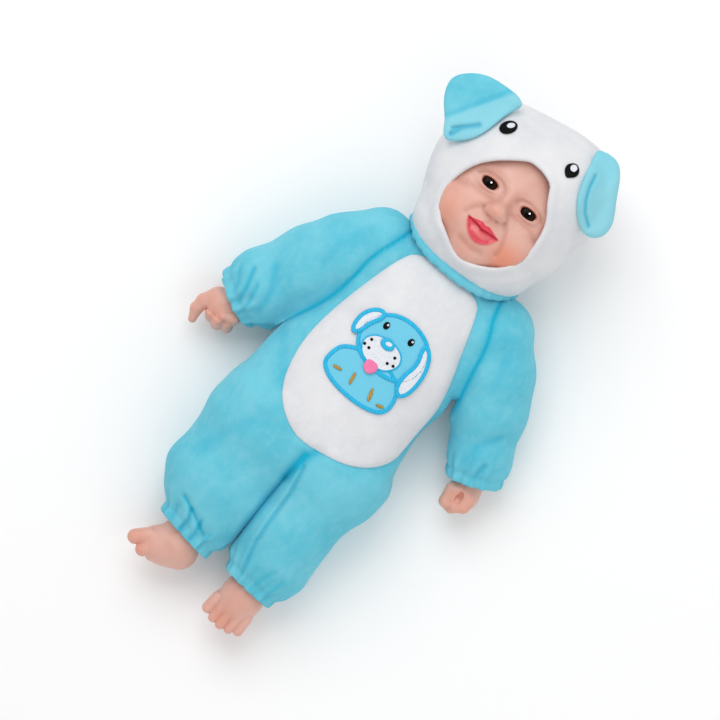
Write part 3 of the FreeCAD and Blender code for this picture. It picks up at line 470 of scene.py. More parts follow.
PARTS = {
    "plush": BLUE,
    "white_plush": WHITE,
    "embroidery": thread("cyan_thread", lin(10, 190, 232), lin(0, 150, 206)),
    "black_thread": thread("black_satin", lin(12, 12, 14), lin(4, 4, 6), sheen=0.0, gloss=0.08),
    "vinyl": SKIN,
    "eye_plastic": moulded("eye_plastic_look", lin(40, 22, 14), 0.1),
    "nylon": woven("nylon_tie", lin(225, 226, 228), lin(180, 182, 186)),
    "hook_tape": woven("hook_tape_look", lin(236, 236, 238), lin(190, 190, 196), 0.9),
    "loop_tape": woven("loop_tape_look", lin(230, 230, 234), lin(200, 200, 206), 0.5),
    "case_plastic": moulded("white_case", lin(226, 227, 224), 0.42),
    "black_plastic": moulded("black_case", lin(26, 27, 30), 0.38),
    "button_plastic": moulded("red_button", lin(206, 58, 50), 0.3),
    "steel": metal("steel_look", lin(190, 192, 196), 0.28),
    "nickel": metal("nickel_look", lin(208, 202, 190), 0.2, "Y"),
    "cell_jacket": cell_look(),
    "wire_cover": moulded("wire_cover_look", lin(190, 36, 34), 0.4),
    "board": board_look(),
    "epoxy": moulded("epoxy_blob", lin(20, 20, 22), 0.18),
    "magnet": moulded("ferrite", lin(62, 62, 64), 0.6, 0.4, 0.05),
    "paper_cone": moulded("paper_cone_look", lin(44, 43, 42), 0.9, 0.5, 0.08),
}

for part in frame["record"]["subparts"]:
    name = part.get("node") or part.get("name")
    if name in frame["nodes"]:
        node = frame["nodes"][name]
        slot = part.get("material") or part.get("material_slot")
        for held in node.material_slots:
            held.material = PARTS[slot]


# ---- the suit

TORSO_Y = (-114, -98, -80, -56, -23, 5, 35, 60, 78)
SIDE_Y = (-188, -179, -170, -160, -147, -119, -96, -75)
TORSO = {
    "mid": (-4, -4, -3.2, -4.5, -4, 1.5, 2, 2, 2),
    "half": (58, 64, 66, 63.5, 60.5, 56.5, 50, 45, 41),
    "top": (68, 73, 76.5, 78, 78.5, 78, 76.5, 73.5, 70),
}
LEG = {
    -1: {
        "mid": (-26.5, -26.5, -25, -27.6, -31, -30.5, -30.5, -31),
        "half": (20.5, 22, 25.5, 32.5, 38, 38.5, 37.5, 36),
        "deep": (27, 27, 27.5, 29, 31, 33, 36, 38),
        "rise": (19, 21, 24, 28.5, 31.5, 33.5, 36, 38),
    },
    1: {
        "mid": (30.5, 30.5, 31, 30.8, 28.5, 27.6, 28, 29),
        "half": (18, 19.5, 24.5, 29, 30.8, 30.6, 32, 33),
        "deep": (27, 27, 27.5, 29, 31, 33, 36, 38),
        "rise": (18, 20, 24, 28, 31, 33.5, 36, 38),
    },
}
ARM = {-1: ([(-46, 58, 42), (-62, 38, 37), (-74, 17, 31), (-91.5, -14, 25.5), (-101.5, -32, 20.5),
             (-104, -37, 20)], (26.5, 27, 27.5, 25.5, 17.5, 16)),
       1: ([(52, 60, 42), (70, 40, 37), (82, 19, 31), (97.5, -10.5, 24.5), (104.5, -27.6, 20.5),
            (107, -33, 20)], (27.5, 26, 25.5, 21.5, 16.5, 16)),}
RAGLAN = {
    -1: [(-30, 100), (-38, 70), (-46, 48), (-46.5, 29), (-51, 6), (-64, -21), (-69, -32), (-80, -70)],
    1: [(37, 105), (43.5, 69), (50, 57), (54, 46), (57, 29), (60, 17), (64.5, -1), (67, -10), (72, -70)],
}
PANEL = rounded([(-23, 71), (-31, 57), (-40, 23), (-44.5, 0), (-46.5, -21), (-44, -40), (-39, -56),
    (-29.5, -68), (-16, -76), (-5, -78.5), (9, -77), (28, -73), (41, -66), (50, -57), (55.5, -42),
    (57.5, -23), (54, 0), (49, 19), (43, 36), (36.5, 56), (30, 71), (4, 73)], 2)
CROTCH = -84.0
# Pieces sewn together overlap by this much, so that no gap shows at the seam.
LAP = 1.0


def torso_core(p):
    x, y, z = p
    mid = curve(y, TORSO_Y, TORSO["mid"])
    half = curve(y, TORSO_Y, TORSO["half"])
    top = curve(y, TORSO_Y, TORSO["top"])
    up = np.where(z > 38, top - 38, 40)
    n = 2.35 + 1.3 * ramp(-z, -38, -16)
    r = ((np.abs(x - mid) / half) ** n + (np.abs(z - 38) / up) ** n + 1e-9) ** (1 / n)
    f = (r - 1) * np.minimum(half, up)
    f = smax(f, y - 80, 14)
    return smax(f, -112 - y, 24)


def leg_core(p, side):
    x, y, z = p
    s = LEG[side]
    mid = curve(y, SIDE_Y, s["mid"])
    half = curve(y, SIDE_Y, s["half"])
    deep = curve(y, SIDE_Y, s["deep"])
    rise = curve(y, SIDE_Y, s["rise"])
    r = ((np.abs(x - mid) / half) ** 2.2 + (np.abs(z - deep) / rise) ** 2.2 + 1e-9) ** (1 / 2.2)
    f = (r - 1) * np.minimum(half, rise)
    return smax(f, y + 70, 10)


def arm_core(p, side):
    points, radii = ARM[side]
    return chain(p, points, radii, 8)


def seam_gap(x, y, side):
    """How far (x, y) is inside the body from the raglan seam."""
    line_ = np.array(RAGLAN[side])[::-1]
    at = curve(y, line_[:, 1], line_[:, 0])
    return (at - x) * 0.9 * side


def crotch_at(y):
    return curve(y, (-190, -164, -119, -84), (3.0, 3.0, 2.6, 3.5))


def suit(p, armpit=0.0):
    """The whole stuffed suit before it is cut into its pieces; armpit takes the lower arms off it."""
    x, y, z = p
    f = torso_core(p)
    for side in (-1, 1):
        f = smin(f, leg_core(p, side), 12)
        f = smin(f, arm_core(p, side) + armpit * ramp(-y, -12, 4), 8)
    f = smax(f, 0.4 - z, 7)
    return f + dents(p)


def dents(p):
    """Sewn lines, creases and the unevenness of stuffing."""
    x, y, z = p
    front = ramp(z, 34, 50)
    d = 0.55 * swell(p, 46, 3) + 0.28 * swell(p, 21, 5)
    seam = np.minimum(line(x, y, CREASES[0]), line(x, y, CREASES[1]))
    d = d + front * 0.7 * gauss(seam, 2.6)
    edge = np.abs(outline(x, y, PANEL))
    d = d + front * 1.0 * gauss(edge, 2.4)
    for pts, deep, wide in FOLDS:
        d = d + front * deep * gauss(line(x, y, pts), wide)
    return d


def sewn(pts):
    """How much each point lies in a seam or a fold, for the painted shade there: the cloth turns towards its
    fold colour where shade falls in them.
    """
    x, y, z = pts.T
    seam = np.minimum(line(x, y, CREASES[0]), line(x, y, CREASES[1]))
    d = 0.8 * gauss(seam, 1.4) + 0.35 * gauss(seam, 4.0)
    for fold, deep, wide in FOLDS:
        if deep > 0:
            d = d + min(0.75, 0.42 * deep) * gauss(line(x, y, fold), wide * 0.7)
    return np.clip(d * ramp(z, 34, 50), 0, 1)


CREASES = [rounded(RAGLAN[s][:6] if s < 0 else RAGLAN[s][:7], 2, False) for s in (-1, 1)]
FOLDS = [
    ([(9, -76), (5, -86), (3, -104)], 1.8, 4.5),
    ([(3, -84), (2.6, -119), (3, -164)], 1.5, 4.0),
    ([(5.5, -93), (9.5, -112), (10.5, -137), (12, -153), (17.5, -174)], -1.0, 2.2),
    ([(8, -91), (12.5, -111), (13.5, -137), (15.2, -153), (21, -175)], 1.4, 1.5),
    ([(-62, -28), (-48, -44), (-38, -56)], 0.7, 6.0),
    ([(60, -8), (56, -24), (52, -40)], 0.8, 5.0),
    ([(-34, -84), (-46, -100), (-52, -122)], 0.7, 7.0),
    ([(-42, -158), (-30, -163), (-16, -171)], 1.8, 2.0),
    ([(-33, -162), (-30.5, -168), (-30.5, -178)], 2.2, 1.7),
    ([(-23, -164), (-21, -170), (-21, -179)], 2.0, 1.7),
    ([(-42, -166), (-40, -176)], 1.2, 2.2),
    ([(-12, -168), (-13, -180)], 1.2, 2.0),
    ([(38, -160), (34, -170), (33, -180)], 0.9, 2.6),
    ([(46, -162), (43, -178)], 0.8, 2.6),
    ([(-58, 60), (-66, 42), (-68, 26)], 0.6, 7.0),
    ([(62, 60), (72, 44), (74, 30)], 0.6, 7.0),
    ([(-92, 2), (-84, -14), (-82, -30)], 1.1, 4.0),
    ([(100, 8), (92, -6), (90, -24)], 0.9, 4.0),
    ([(-112, -12), (-106, -22), (-104, -30)], 1.6, 2.2),
    ([(-103, -8), (-99, -22), (-97, -34)], 1.7, 2.2),
    ([(-94, -16), (-92, -26), (-91, -38)], 1.3, 2.0),
    ([(104, -14), (103, -22), (103, -32)], 1.9, 1.9),
    ([(112, -12), (111, -20), (111, -28)], 1.0, 2.2),
    ([(95, -16), (96, -26), (96, -34)], 1.0, 2.2),
]


def torso_piece(p):
    x, y, z = p
    f = suit(p, 30.0)
    for side in (-1, 1):
        f = smax(f, -seam_gap(x, y, side) - LAP, 1.4)
    pocket = np.maximum(np.maximum(np.abs(x) - 31.5, np.abs(y + 12) - 43.5), z - 66.3)
    flap = np.maximum(np.maximum(np.abs(x - 4) - 42, np.abs(y + 12) - 48), z - 7.2)
    f = np.maximum(f, -pocket)
    f = smax(f, -flap, 1.5)
    return f


# Where the tie sits on a cuff, up from the hem.
TIE_AT = 7.5


def cuffed(p, f, end, way, out, up, radius, waves):
    """A gathered cuff with an open hem: ripples that grow towards the hem, and a pinch at the tie."""
    q = [p[i] - end[i] for i in range(3)]
    along, across, rise = [sum(q[i] * d[i] for i in range(3)) for d in (way, out, up)]
    angle = np.arctan2(rise, across)
    ring = np.cos(waves * angle) + 0.5 * np.cos((waves * 2 - 5) * angle + 1.7)
    f = f + 1.15 * ring * ramp(along, -24, -7) + 1.1 * gauss(along + 7.0, 2.4)
    f = smax(f, along, 1.6)
    return smax(f, -np.maximum(length(across, rise) - radius, -along - 9), 1.2)


def frame_of(way):
    way = np.array(way, float) / np.linalg.norm(way)
    out = np.cross(way, (0, 0, 1.0))
    out /= np.linalg.norm(out)
    return way, out, np.cross(out, way)


def wrist_of(side):
    """The middle of the sleeve's hem and the directions there."""
    end = ARM[side][0][4]
    start = ARM[side][0][3]
    return (end,) + frame_of([end[i] - start[i] for i in range(3)])


def tie_piece(side):
    """The tie that holds the cuff to the wrist, with its small square head."""
    end, way, out, up = wrist_of(side)

    def f(p):
        q = [p[i] - end[i] for i in range(3)]
        along, across, rise = [sum(q[i] * d[i] for i in range(3)) for d in (way, out, up)]
        off = np.abs(along + TIE_AT)
        ring = slab(off - 1.2, length(across, rise) - 11.2, 0.7, 0.4)
        head = np.maximum(np.maximum(off - 2.0, np.abs(across) - 2.2), np.abs(rise - 12.0) - 1.3)
        return smin(ring, head, 0.4)
    return f


def sleeve_piece(side):
    end, way, out, up = wrist_of(side)

    def f(p):
        x, y, z = p
        g = suit(p)
        g = smax(g, seam_gap(x, y, side) - LAP, 1.4)
        return cuffed(p, g, end, way, out, up, 12.0, 11)
    return f


def leg_piece(side):
    end = (-27.0, -180.5, 27.0) if side < 0 else (29.5, -182.0, 27.0)
    way, out, up = frame_of((-0.157, -0.988, 0.0) if side < 0 else (-0.073, -0.997, 0.0))

    def f(p):
        x, y, z = p
        g = suit(p)
        k = 0.05 + 6 * ramp(y, CROTCH, -112)
        g = smax(g, (x - crotch_at(y)) * -side - LAP * ramp(y, -158, -130), k)
        return cuffed(p, g, end, way, out, up, 16.7, 13)
    return f


def trim(obj, y_cut, keep_above):
    """Cuts the mesh along y = y_cut and closes it there."""
    bm = bmesh.new()
    bm.from_mesh(obj.data)
    geom = bm.verts[:] + bm.edges[:] + bm.faces[:]
    cut = bmesh.ops.bisect_plane(bm, geom=geom, plane_co=(0, y_cut * MM, 0), plane_no=(0, 1, 0),
                                 clear_outer=not keep_above, clear_inner=keep_above)
    rim = [e for e in cut["geom_cut"] if isinstance(e, bmesh.types.BMEdge)]
    bmesh.ops.holes_fill(bm, edges=rim, sides=0)
    bm.to_mesh(obj.data)
    bm.free()


def skin_normals(obj, field):
    """Shades the mesh by its field, so that neighbours cut from one suit match at the seam."""
    pts = points_of(obj)
    n = slope(field, pts, 0.4)
    n /= np.maximum(np.linalg.norm(n, axis=1), 1e-6)[:, None]
    obj.data.normals_split_custom_set_from_vertices(n.tolist())


torso = solid("suit_torso", torso_piece, (-72, -100, 0), (72, 86, 84), 1.5)
trim(torso, CROTCH, True)
# Painted shade in the seams and folds: the cloth turns to its deeper fold colour there.
paint(torso, "crease", sewn(points_of(torso)))
skin_normals(torso, torso_piece)
dress(torso, BLUE, "plush", "torso", "torso_stuffing")

SIDES = {-1: "right", 1: "left"}
for side, word in SIDES.items():
    box = ((-122, -46, 0), (-24, 94, 76)) if side < 0 else ((36, -42, 0), (124, 98, 76))
    sleeve = solid("sleeve_" + word, sleeve_piece(side), box[0], box[1], 1.3)
    # Painted shade in the sleeve's seam and folds.
    paint(sleeve, "crease", sewn(points_of(sleeve)))
    skin_normals(sleeve, sleeve_piece(side))
    dress(sleeve, BLUE, "plush", None, "arm_" + word)
    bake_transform(sleeve)
    cx, cy, cz = wrist_of(side)[0]
    low, high = (cx - 18, cy - 12, cz - 18), (cx + 18, cy + 20, cz + 20)
    tie = solid("cuff_tie_" + word, tie_piece(side), low, high, 0.5)
    dress(tie, PARTS["nylon"], "nylon", "arm_" + word, "wrist_tie_" + word)
    box = ((-74, -186, 0), (6, -74, 78)) if side < 0 else ((0, -186, 0), (70, -74, 78))
    leg = solid("leg_cloth_" + word, leg_piece(side), box[0], box[1], 1.4)
    trim(leg, CROTCH, False)
    # Painted shade in the leg's folds.
    paint(leg, "crease", sewn(points_of(leg)))
    skin_normals(leg, leg_piece(side))
    dress(leg, BLUE, "plush", None, "leg_" + word)
    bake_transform(leg)


def panel_piece(p):
    edge = smax(outline(p[0], p[1], PANEL), 50 - p[2], 8)
    return slab(edge, suit(p) - 0.2, 0.9, 1.5)


panel = solid("belly_panel_cloth", panel_piece, (-50, -82, 44), (60, 76, 84), 0.8)
dress(panel, WHITE, "white_plush", "torso", "belly_panel")


# ---- the puppy patch, an own design

def turned(points, angle, about):
    c, s = math.cos(math.radians(angle)), math.sin(math.radians(angle))
    pts = np.array(points, float) - about
    return pts @ np.array([[c, s], [-s, c]]) + about


def oval(cx, cy, rx, ry, angle=0.0, n=20):
    a = np.linspace(0, 2 * math.pi, n, endpoint=False)
    pts = np.stack([cx + rx * np.cos(a), cy + ry * np.sin(a)], 1)
    return turned(pts, angle, (cx, cy))


def stitched(name, shape, lift, thick, look, step=0.55, ring=None):
    """One embroidered field of the patch: filled, or only its border when ring is a width."""
    pts = np.array(shape, float)

    def f(p):
        d = outline(p[0], p[1], pts)
        if ring:
            d = np.abs(d + ring / 2) - ring / 2
        return slab(d, suit(p) - lift, thick, 1.0)
    low = (pts[:, 0].min() - 2, pts[:, 1].min() - 2, 68)
    high = (pts[:, 0].max() + 2, pts[:, 1].max() + 2, 83)
    obj = solid(name, f, low, high, step)
    return dress(obj, look, "embroidery", "torso")


CYAN = PARTS["embroidery"]
SKY = woven("patch_sky", lin(118, 208, 232), lin(96, 190, 222), 0.8)
IVORY = thread("ivory_thread", lin(238, 240, 244), lin(200, 208, 222), "X")
PINK = thread("pink_thread", lin(250, 130, 178), lin(226, 92, 150), "Y")
GOLD = thread("gold_thread", lin(190, 150, 60), lin(130, 100, 40), "DIAGONAL")
BLACK = PARTS["black_thread"]

HEAD = rounded([(-16, 24), (-4, 31), (12, 31), (26, 24), (31, 10), (28, -4), (16, -11), (0, -12), (-14, -8),
    (-22, 2), (-22, 14)], 3)
BODY = rounded([(-24, -8), (-28, -20), (-27, -29), (-16, -35), (0, -37), (16, -36), (28, -31), (30, -20),
    (24, -6), (0, 0)], 3)
EAR_A = rounded([(-14, 26), (-22, 24), (-28, 15), (-28, 4), (-24, -1), (-19, 3), (-17, 12), (-12, 20)], 3)
EAR_B = rounded([(20, 27), (29, 21), (34, 8), (34, -8), (29, -16), (22, -13), (20, -2), (23, 10), (19, 20)],
    3)

base = stitched("patch_base", BODY, 1.7, 0.6, SKY)
stitched("patch_head", HEAD, 2.1, 0.6, SKY)
stitched("patch_body_edge", BODY, 2.2, 0.9, CYAN, ring=2.9)
stitched("patch_head_edge", HEAD, 2.5, 0.9, CYAN, ring=2.9)
for tag, shape in (("a", EAR_A), ("b", EAR_B)):
    stitched("patch_ear_" + tag, shape, 2.7, 0.7, IVORY)
    stitched("patch_ear_edge_" + tag, shape, 3.1, 0.9, CYAN, ring=3.0)
MUZZLE = rounded([(-13, 8), (-4, 12), (6, 12), (14, 8), (16, 0), (10, -8), (0, -10), (-10, -8), (-16, 0)], 3)
stitched("patch_muzzle", MUZZLE, 3.0, 0.7, IVORY)
stitched("patch_muzzle_edge", MUZZLE, 3.2, 0.7, CYAN, ring=1.5)
stitched("patch_nose", oval(0, 8.5, 5.4, 4.0), 3.9, 0.9, CYAN)
stitched("patch_nose_shine", oval(0.6, 9.2, 2.5, 1.6, 15), 4.6, 0.5, IVORY, 0.4)
stitched("patch_tongue", rounded([(-4.5, -6), (5, -6), (5.5, -12), (1, -16), (-4.5, -13)], 3), 3.8, 0.8, PINK)
FRECKLES = [(-10.5, 4.5), (-8.5, -1.0), (-12.5, -0.5), (9.5, 4.5), (12.0, -0.5), (7.8, -1.5)]
for i, (x, y) in enumerate(FRECKLES):
    stitched("patch_freckle_%d" % i, oval(x, y, 1.15, 1.15, 0, 10), 3.8, 0.6, BLACK, 0.4)
for i, (x, y) in enumerate([(-8.5, 18.0), (11.5, 19.5)]):
    stitched("patch_eye_%d" % i, oval(x, y, 2.2, 2.8, 0), 2.9, 0.8, BLACK, 0.4)
    stitched("patch_eye_shine_%d" % i, oval(x + 0.6, y + 0.9, 0.8, 0.9, 0), 3.8, 0.4, IVORY, 0.35)
MARKS = [
    [(-20, -24), (-13, -23), (-13, -25.2), (-20, -26.4)],
    [(-4, -19), (-2, -28), (-4.4, -29), (-6, -20)],
    [(12, -20), (15, -29), (12.6, -30), (9.8, -21)],
    [(19, -27), (25, -25), (25, -27.4), (19.5, -29)],
]
for i, shape in enumerate(MARKS):
    stitched("patch_gold_%d" % i, rounded(shape, 2), 2.8, 0.5, GOLD, 0.45)
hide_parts("puppy_patch")


# ---- hood, ears and collar

HOOD = lay(rounded([(-29, 194), (-6, 198.5), (14, 202), (32, 202.5), (47, 195), (57, 182), (61, 165),
    (59.5, 148), (58.5, 126), (55.5, 112), (50.5, 102), (47, 88), (30, 73.5), (14, 69), (0, 68), (-15, 69),
    (-30, 74), (-42, 86), (-47, 103), (-54, 116), (-59, 129), (-61, 142), (-60, 160), (-53, 178),
    (-42, 190)], 2), 51)
FACE = lay(rounded([(0, 166.5), (9, 166), (18, 162.5), (21, 157), (24.5, 151), (30.5, 143), (34, 135),
    (36, 120), (34.5, 108), (28, 97.5), (18, 90.5), (7, 86), (0, 85), (-8, 87.5), (-17, 92.5), (-26.5, 98),
    (-33.5, 107), (-36.5, 120), (-35, 131), (-30.5, 142), (-22.5, 151.5), (-12, 160), (-4, 165.5)], 1), 98)


def hood_skin(p):
    x, y, z = p
    d = outline(x, y, HOOD)
    f = slab(d, z - 51, 54, 50)
    f = smax(f, 0.4 - z, 8)
    f = f + 0.5 * swell(p, 48, 11) + 0.22 * swell(p, 20, 12)
    up = ramp(z, 50, 66)
    for pts, deep, wide in HOOD_FOLDS:
        f = f + up * deep * gauss(line(x, y, pts), wide)
    return f


HOOD_FOLDS = [
    ([(-50, 112), (-42, 100), (-30, 90)], 1.0, 3.6),
    ([(-52, 150), (-47, 128), (-44, 112)], 0.7, 5.0),
    ([(44, 150), (49, 128), (45, 108)], 0.8, 5.0),
    ([(40, 104), (30, 92), (16, 84)], 0.7, 3.6),
]


def hood_piece(p):
    x, y, z = p
    skin = hood_skin(p)
    shell = np.maximum(skin, -(skin + 3.2))
    d = outline(x, y, FACE)
    f = smax(shell, -np.maximum(d - 1.0, 60 - z), 1.0)
    rim = length(d - 2.4, (skin + 2.0) * 1.1) - 3.0
    rim = np.maximum(rim, 60 - z)
    return smin(f, rim, 2.4)


hood = solid("hood_cloth", hood_piece, (-64, 72, 0), (64, 206, 112), 1.5)
dress(hood, WHITE, "white_plush", "head", "hood")

COLLAR = [(-40, 87.5, 46), (-37, 84.5, 58), (-29, 77.5, 69), (-15, 73.8, 75), (0, 72.6, 77.5),
    (15, 73.6, 76.5), (29, 76.4, 70), (40, 83, 58), (45.5, 89.5, 44), (43, 90, 22), (28, 86, 8),
    (0, 84, 5.5), (-26, 84, 8), (-39, 87, 22), (-40, 87.5, 46)]


def collar_piece(p):
    pts = rounded(COLLAR, 1, False)
    f = chain(p, [tuple(q) for q in pts], [3.2] * len(pts), 2.0)
    return smax(f + 0.3 * swell(p, 7, 21), 0.4 - p[2], 2)


collar = solid("collar_band", collar_piece, (-50, 64, 0), (56, 98, 86), 1.0)
dress(collar, BLUE, "plush", "torso", "neck_collar")

EAR_RIGHT = lay(rounded([(-29, 194), (-45.5, 196), (-59, 195), (-72, 188.5), (-79.5, 180), (-80, 172),
    (-76, 163), (-67.5, 153.5), (-61, 143.5), (-55.5, 141.5), (-48, 146.5), (-42, 154), (-37, 169),
    (-34, 183)], 2), 88)
EAR_LEFT = lay(rounded([(27, 202), (36, 204.5), (45, 203), (52, 196), (58.5, 184), (65, 174.5), (68.5, 166),
    (67.5, 157), (61, 151), (53.5, 151), (45.5, 156.5), (37.5, 165.5), (33, 176), (30.5, 188), (28, 196)],
    2), 88)


# The left ear's seam, and the pinch at the right ear's tip.
EAR_SEAM = [(37, 184), (39, 174.5), (42.5, 166.5), (47.5, 160), (55, 155)]
EAR_PINCH = [(-57, 149), (-53, 153), (-45, 161)], [(-53, 153), (-56, 145)]


def ear_band(x, y):
    """How far (x, y) is past the fold across the right ear."""
    return (x + 52.5) * 0.86 - (y - 174) * 0.51


def ear_pinch(x, y):
    return np.minimum(line(x, y, EAR_PINCH[0]), line(x, y, EAR_PINCH[1]))


def hood_top(x, y):
    """The height of the hood's front under (x, y)."""
    d = np.maximum(outline(x, y, HOOD) + 50, 0)
    return 51 + 1.08 * np.sqrt(np.maximum(2500 - d * d, 0))


def ear_field(shape, side):
    """A flat stuffed ear, sewn along its root and laid over the hood."""
    def f(p):
        x, y, z = p
        d = outline(x, y, shape)
        rest = hood_top(x, y) + 1.2
        if side < 0:
            mid = smax(rest, 86 - 0.16 * np.maximum(-x - 44, 0), 8)
            mid = mid + 3.0 * ramp(ear_band(x, y), -1.6, 1.6) - 1.5
            crease = 2.6 * gauss(ear_pinch(x, y), 1.5)
        else:
            mid = smax(rest, 84 - 0.30 * np.maximum(x - 50, 0), 8)
            crease = 1.6 * gauss(line(x, y, EAR_SEAM), 1.5)
        f = slab(d, z - mid, 4.2, 5.5)
        return f + crease * ramp(z - mid, -1, 1) + 0.3 * swell(p, 22, 31)
    return f


for side, word, shape in ((-1, "right", EAR_RIGHT), (1, "left", EAR_LEFT)):
    low = (shape[:, 0].min() - 2, shape[:, 1].min() - 2, 56)
    high = (shape[:, 0].max() + 2, shape[:, 1].max() + 2, 112)
    ear = solid("ear_cloth_" + word, ear_field(shape, side), low, high, 1.0)
    ex, ey = points_of(ear).T[:2]
    # Painted light and shade: the right ear's folded flap is painted lighter as painted light, with painted
    # shade in its pinch and along the fold; the left ear is painted paler all over, lighter still on its
    # domed side as painted light, with painted shade along its seam.
    if side < 0:
        band = ear_band(ex, ey)
        paint(ear, "paler_and_painted_light", 0.7 * ramp(band, -1, 3))
        paint(ear, "crease", np.clip(0.6 * gauss(ear_pinch(ex, ey), 1.8) + 0.3 * gauss(np.abs(band + 1.5),
                                                                                       1.8), 0, 1))
    else:
        paint(ear, "crease", 0.7 * gauss(line(ex, ey, EAR_SEAM), 1.1))
        paint(ear, "paler_and_painted_light", 0.6 + 0.3 * ramp(ex - 38, 0, 14))
    dress(ear, BLUE, "plush", "head", "ear_" + word)

HOOD_EYES = {"right": (oval(-29, 175, 4.6, 6.6, -32), oval(-28.4, 177, 1.9, 3.0, -40)),
             "left": (rounded([(18, 181), (21, 184.5), (25, 184.5), (28, 181), (28, 177), (24.5, 173.6),
                               (22.5, 172.6), (19.5, 175), (17.8, 178)], 2), oval(23, 181, 2.5, 2.6)),}
for word, (dark, bright) in HOOD_EYES.items():
    dark, bright = lay(dark, 99), lay(bright, 99)
    layers = (("dark", dark, 0.6, 0.8, BLACK), ("bright", bright, 1.4, 0.6, IVORY))
    for tag, shape, lift, thick, look in layers:
        def f(p, shape=shape, lift=lift, thick=thick):
            return slab(outline(p[0], p[1], shape), hood_skin(p) - lift, thick, 0.9)
        low = (shape[:, 0].min() - 1, shape[:, 1].min() - 1, 70)
        high = (shape[:, 0].max() + 1, shape[:, 1].max() + 1, 110)
        eye = solid("hood_eye_%s_%s" % (tag, word), f, low, high, 0.5)
        dress(eye, look, "black_thread", "head")
        if tag == "dark":
            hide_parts("hood_eye_" + word)


# ---- the head

EYES = {"right": (-14.9, 137.3), "left": (18.1, 137.2)}
EYE_Z, EYE_R = 87.6, 9.6
# The face is drawn on the same plane as the outlines; it lies higher, so all of it moves down a little.
DROP = 1.9

MOUTH_TOP = rounded([(-12.0, 111.2), (-7, 110.7), (-3, 110.1), (0.8, 109.2), (4.5, 110.0), (9, 110.5),
    (13.2, 110.4)], 2, False)
MOUTH = np.vstack([MOUTH_TOP, rounded([(13.2, 110.4), (10.6, 106.3), (6.5, 103.2), (1.6, 102.0),
    (-3.6, 103.0), (-8.6, 106.6), (-12.0, 111.2)], 2, False)[1:-1]])
LIPS = rounded([(-13.4, 111.6), (-8.4, 112.6), (-4.8, 113.4), (-1.9, 114.3), (0.7, 112.7), (3.2, 114.2),
    (6.2, 113.3), (9.5, 112.2), (13.8, 111.2), (12.2, 106.6), (8.4, 101.6), (2, 99.2), (-4.4, 100.9),
    (-10.0, 105.6)], 2)
SMILE = [
    ([(-8.8, 122), (-13.0, 118), (-15.8, 112.5)], 0.9, 2.2),
    ([(10.4, 122), (14.6, 117.5), (17.2, 111), (18.4, 106.5), (18.4, 102.5)], 1.1, 1.9),
    ([(-7, 96.6), (1.5, 95.2), (9, 96.6)], 1.1, 2.6),
    ([(0.6, 118.6), (0.6, 115)], 0.6, 1.6),
    ([(-33, 126), (-25, 129.6), (-13, 131.2), (-7, 130)], 0.8, 2.4),
    ([(10, 130), (16, 131.2), (26, 130), (33, 126)], 0.8, 2.4),
]


def face_base(p):
    f = ellipsoid(p, (0, 133, 57), (52, 58, 45.5))
    f = smin(f, ellipsoid(p, (-20, 114.5, 83), (18, 16, 16)), 8)
    f = smin(f, ellipsoid(p, (22, 113.5, 83), (18, 16, 16)), 8)
    f = smin(f, ellipsoid(p, (1, 97, 82), (16, 12, 13)), 9)
    f = smin(f, ellipsoid(p, (0.8, 107, 88), (17, 11, 11)), 8)
    return smin(f, bone(p, (0, 96, 44), (0, 70, 44), 21, 21), 8)


NOSE_Z = height(face_base, 0.8, 125)
BRIDGE_Z = height(face_base, 1.2, 137)
TONGUE_Z = height(face_base, 0.8, 105)


def lid_edge(x, y, word):
    """Distance to the edge of the open eye."""
    u, v = x - EYES[word][0], y - EYES[word][1]
    return ((np.abs(u / 5.75) ** 2.4 + np.abs(v / 3.25) ** 2.4 + 1e-9) ** (1 / 2.4) - 1) * 4.0


def face(p):
    x, y, z = p[0], p[1] + DROP, p[2]
    q = [x, y, z]
    f = face_base(q)
    f = smin(f, bone(q, (1.2, 138, BRIDGE_Z - 5.2), (0.9, 128.5, NOSE_Z - 1.8), 4.4, 5.6), 6)
    f = smin(f, ellipsoid(q, (0.9, 125.2, NOSE_Z + 1.6), (7.4, 6.3, 7.6)), 3.4)
    for s in (-1, 1):
        f = smin(f, ellipsoid(q, (0.9 + s * 6.0, 123.4, NOSE_Z - 0.8), (3.5, 3.5, 4.8)), 2.2)
        f = smax(f, -ellipsoid(q, (0.9 + s * 3.5, 119.2, NOSE_Z + 1.4), (1.6, 1.0, 2.2)), 1.4)
    for word, (cx, cy) in EYES.items():
        f = smax(f, -ellipsoid(q, (cx, cy, 104.5), (12, 8.4, 8.6)), 7)
        f = smin(f, ellipsoid(q, (cx, cy, EYE_Z), (EYE_R + 1.2,) * 3), 2.2)
        lid = lid_edge(x, y, word)
        up = ramp(z, 84, 90)
        f = f + 0.8 * gauss(lid - 3.4, 1.1) * ramp(y, cy, cy + 3) * up
        f = f - 0.5 * gauss(lid - 1.3, 1.0) * up
        f = f + 0.5 * gauss(lid - 4.2, 1.6) * ramp(-y, -cy + 1, -cy + 4) * up
        f = smax(f, -np.maximum(lid, EYE_Z + 2 - z), 0.5)
    for pts, deep, wide in SMILE:
        f = f + deep * gauss(line(x, y, pts), wide) * ramp(z, 78, 86)
    # The lips are a raised rim round the smile; the tongue fills it almost to the front.
    front = ramp(z, 84, 88)
    inside = outline(x, y, MOUTH)
    rim = outline(x, y, LIPS)
    f = f - 1.7 * ramp(-rim, -0.3, 1.8) * ramp(inside, -0.4, 1.0) * front
    f = f + 0.7 * ramp(-inside, 0.0, 2.4) * front
    f = f + 0.9 * gauss(line(x, y, MOUTH_TOP), 0.6) * front
    f = smin(f, ellipsoid(q, (0.8, 105.6, TONGUE_Z - 2.6), (8.6, 4.2, 3.9)), 1.0)
    # Outside the hood's opening the head stays under the cloth.
    under = hood_skin(p) + 3.6 - 30 * ramp(-outline(p[0], p[1], FACE), -2.0, 3.0) * ramp(z, 60, 70)
    return smax(smax(f, under, 1.5), 3 - z, 2)


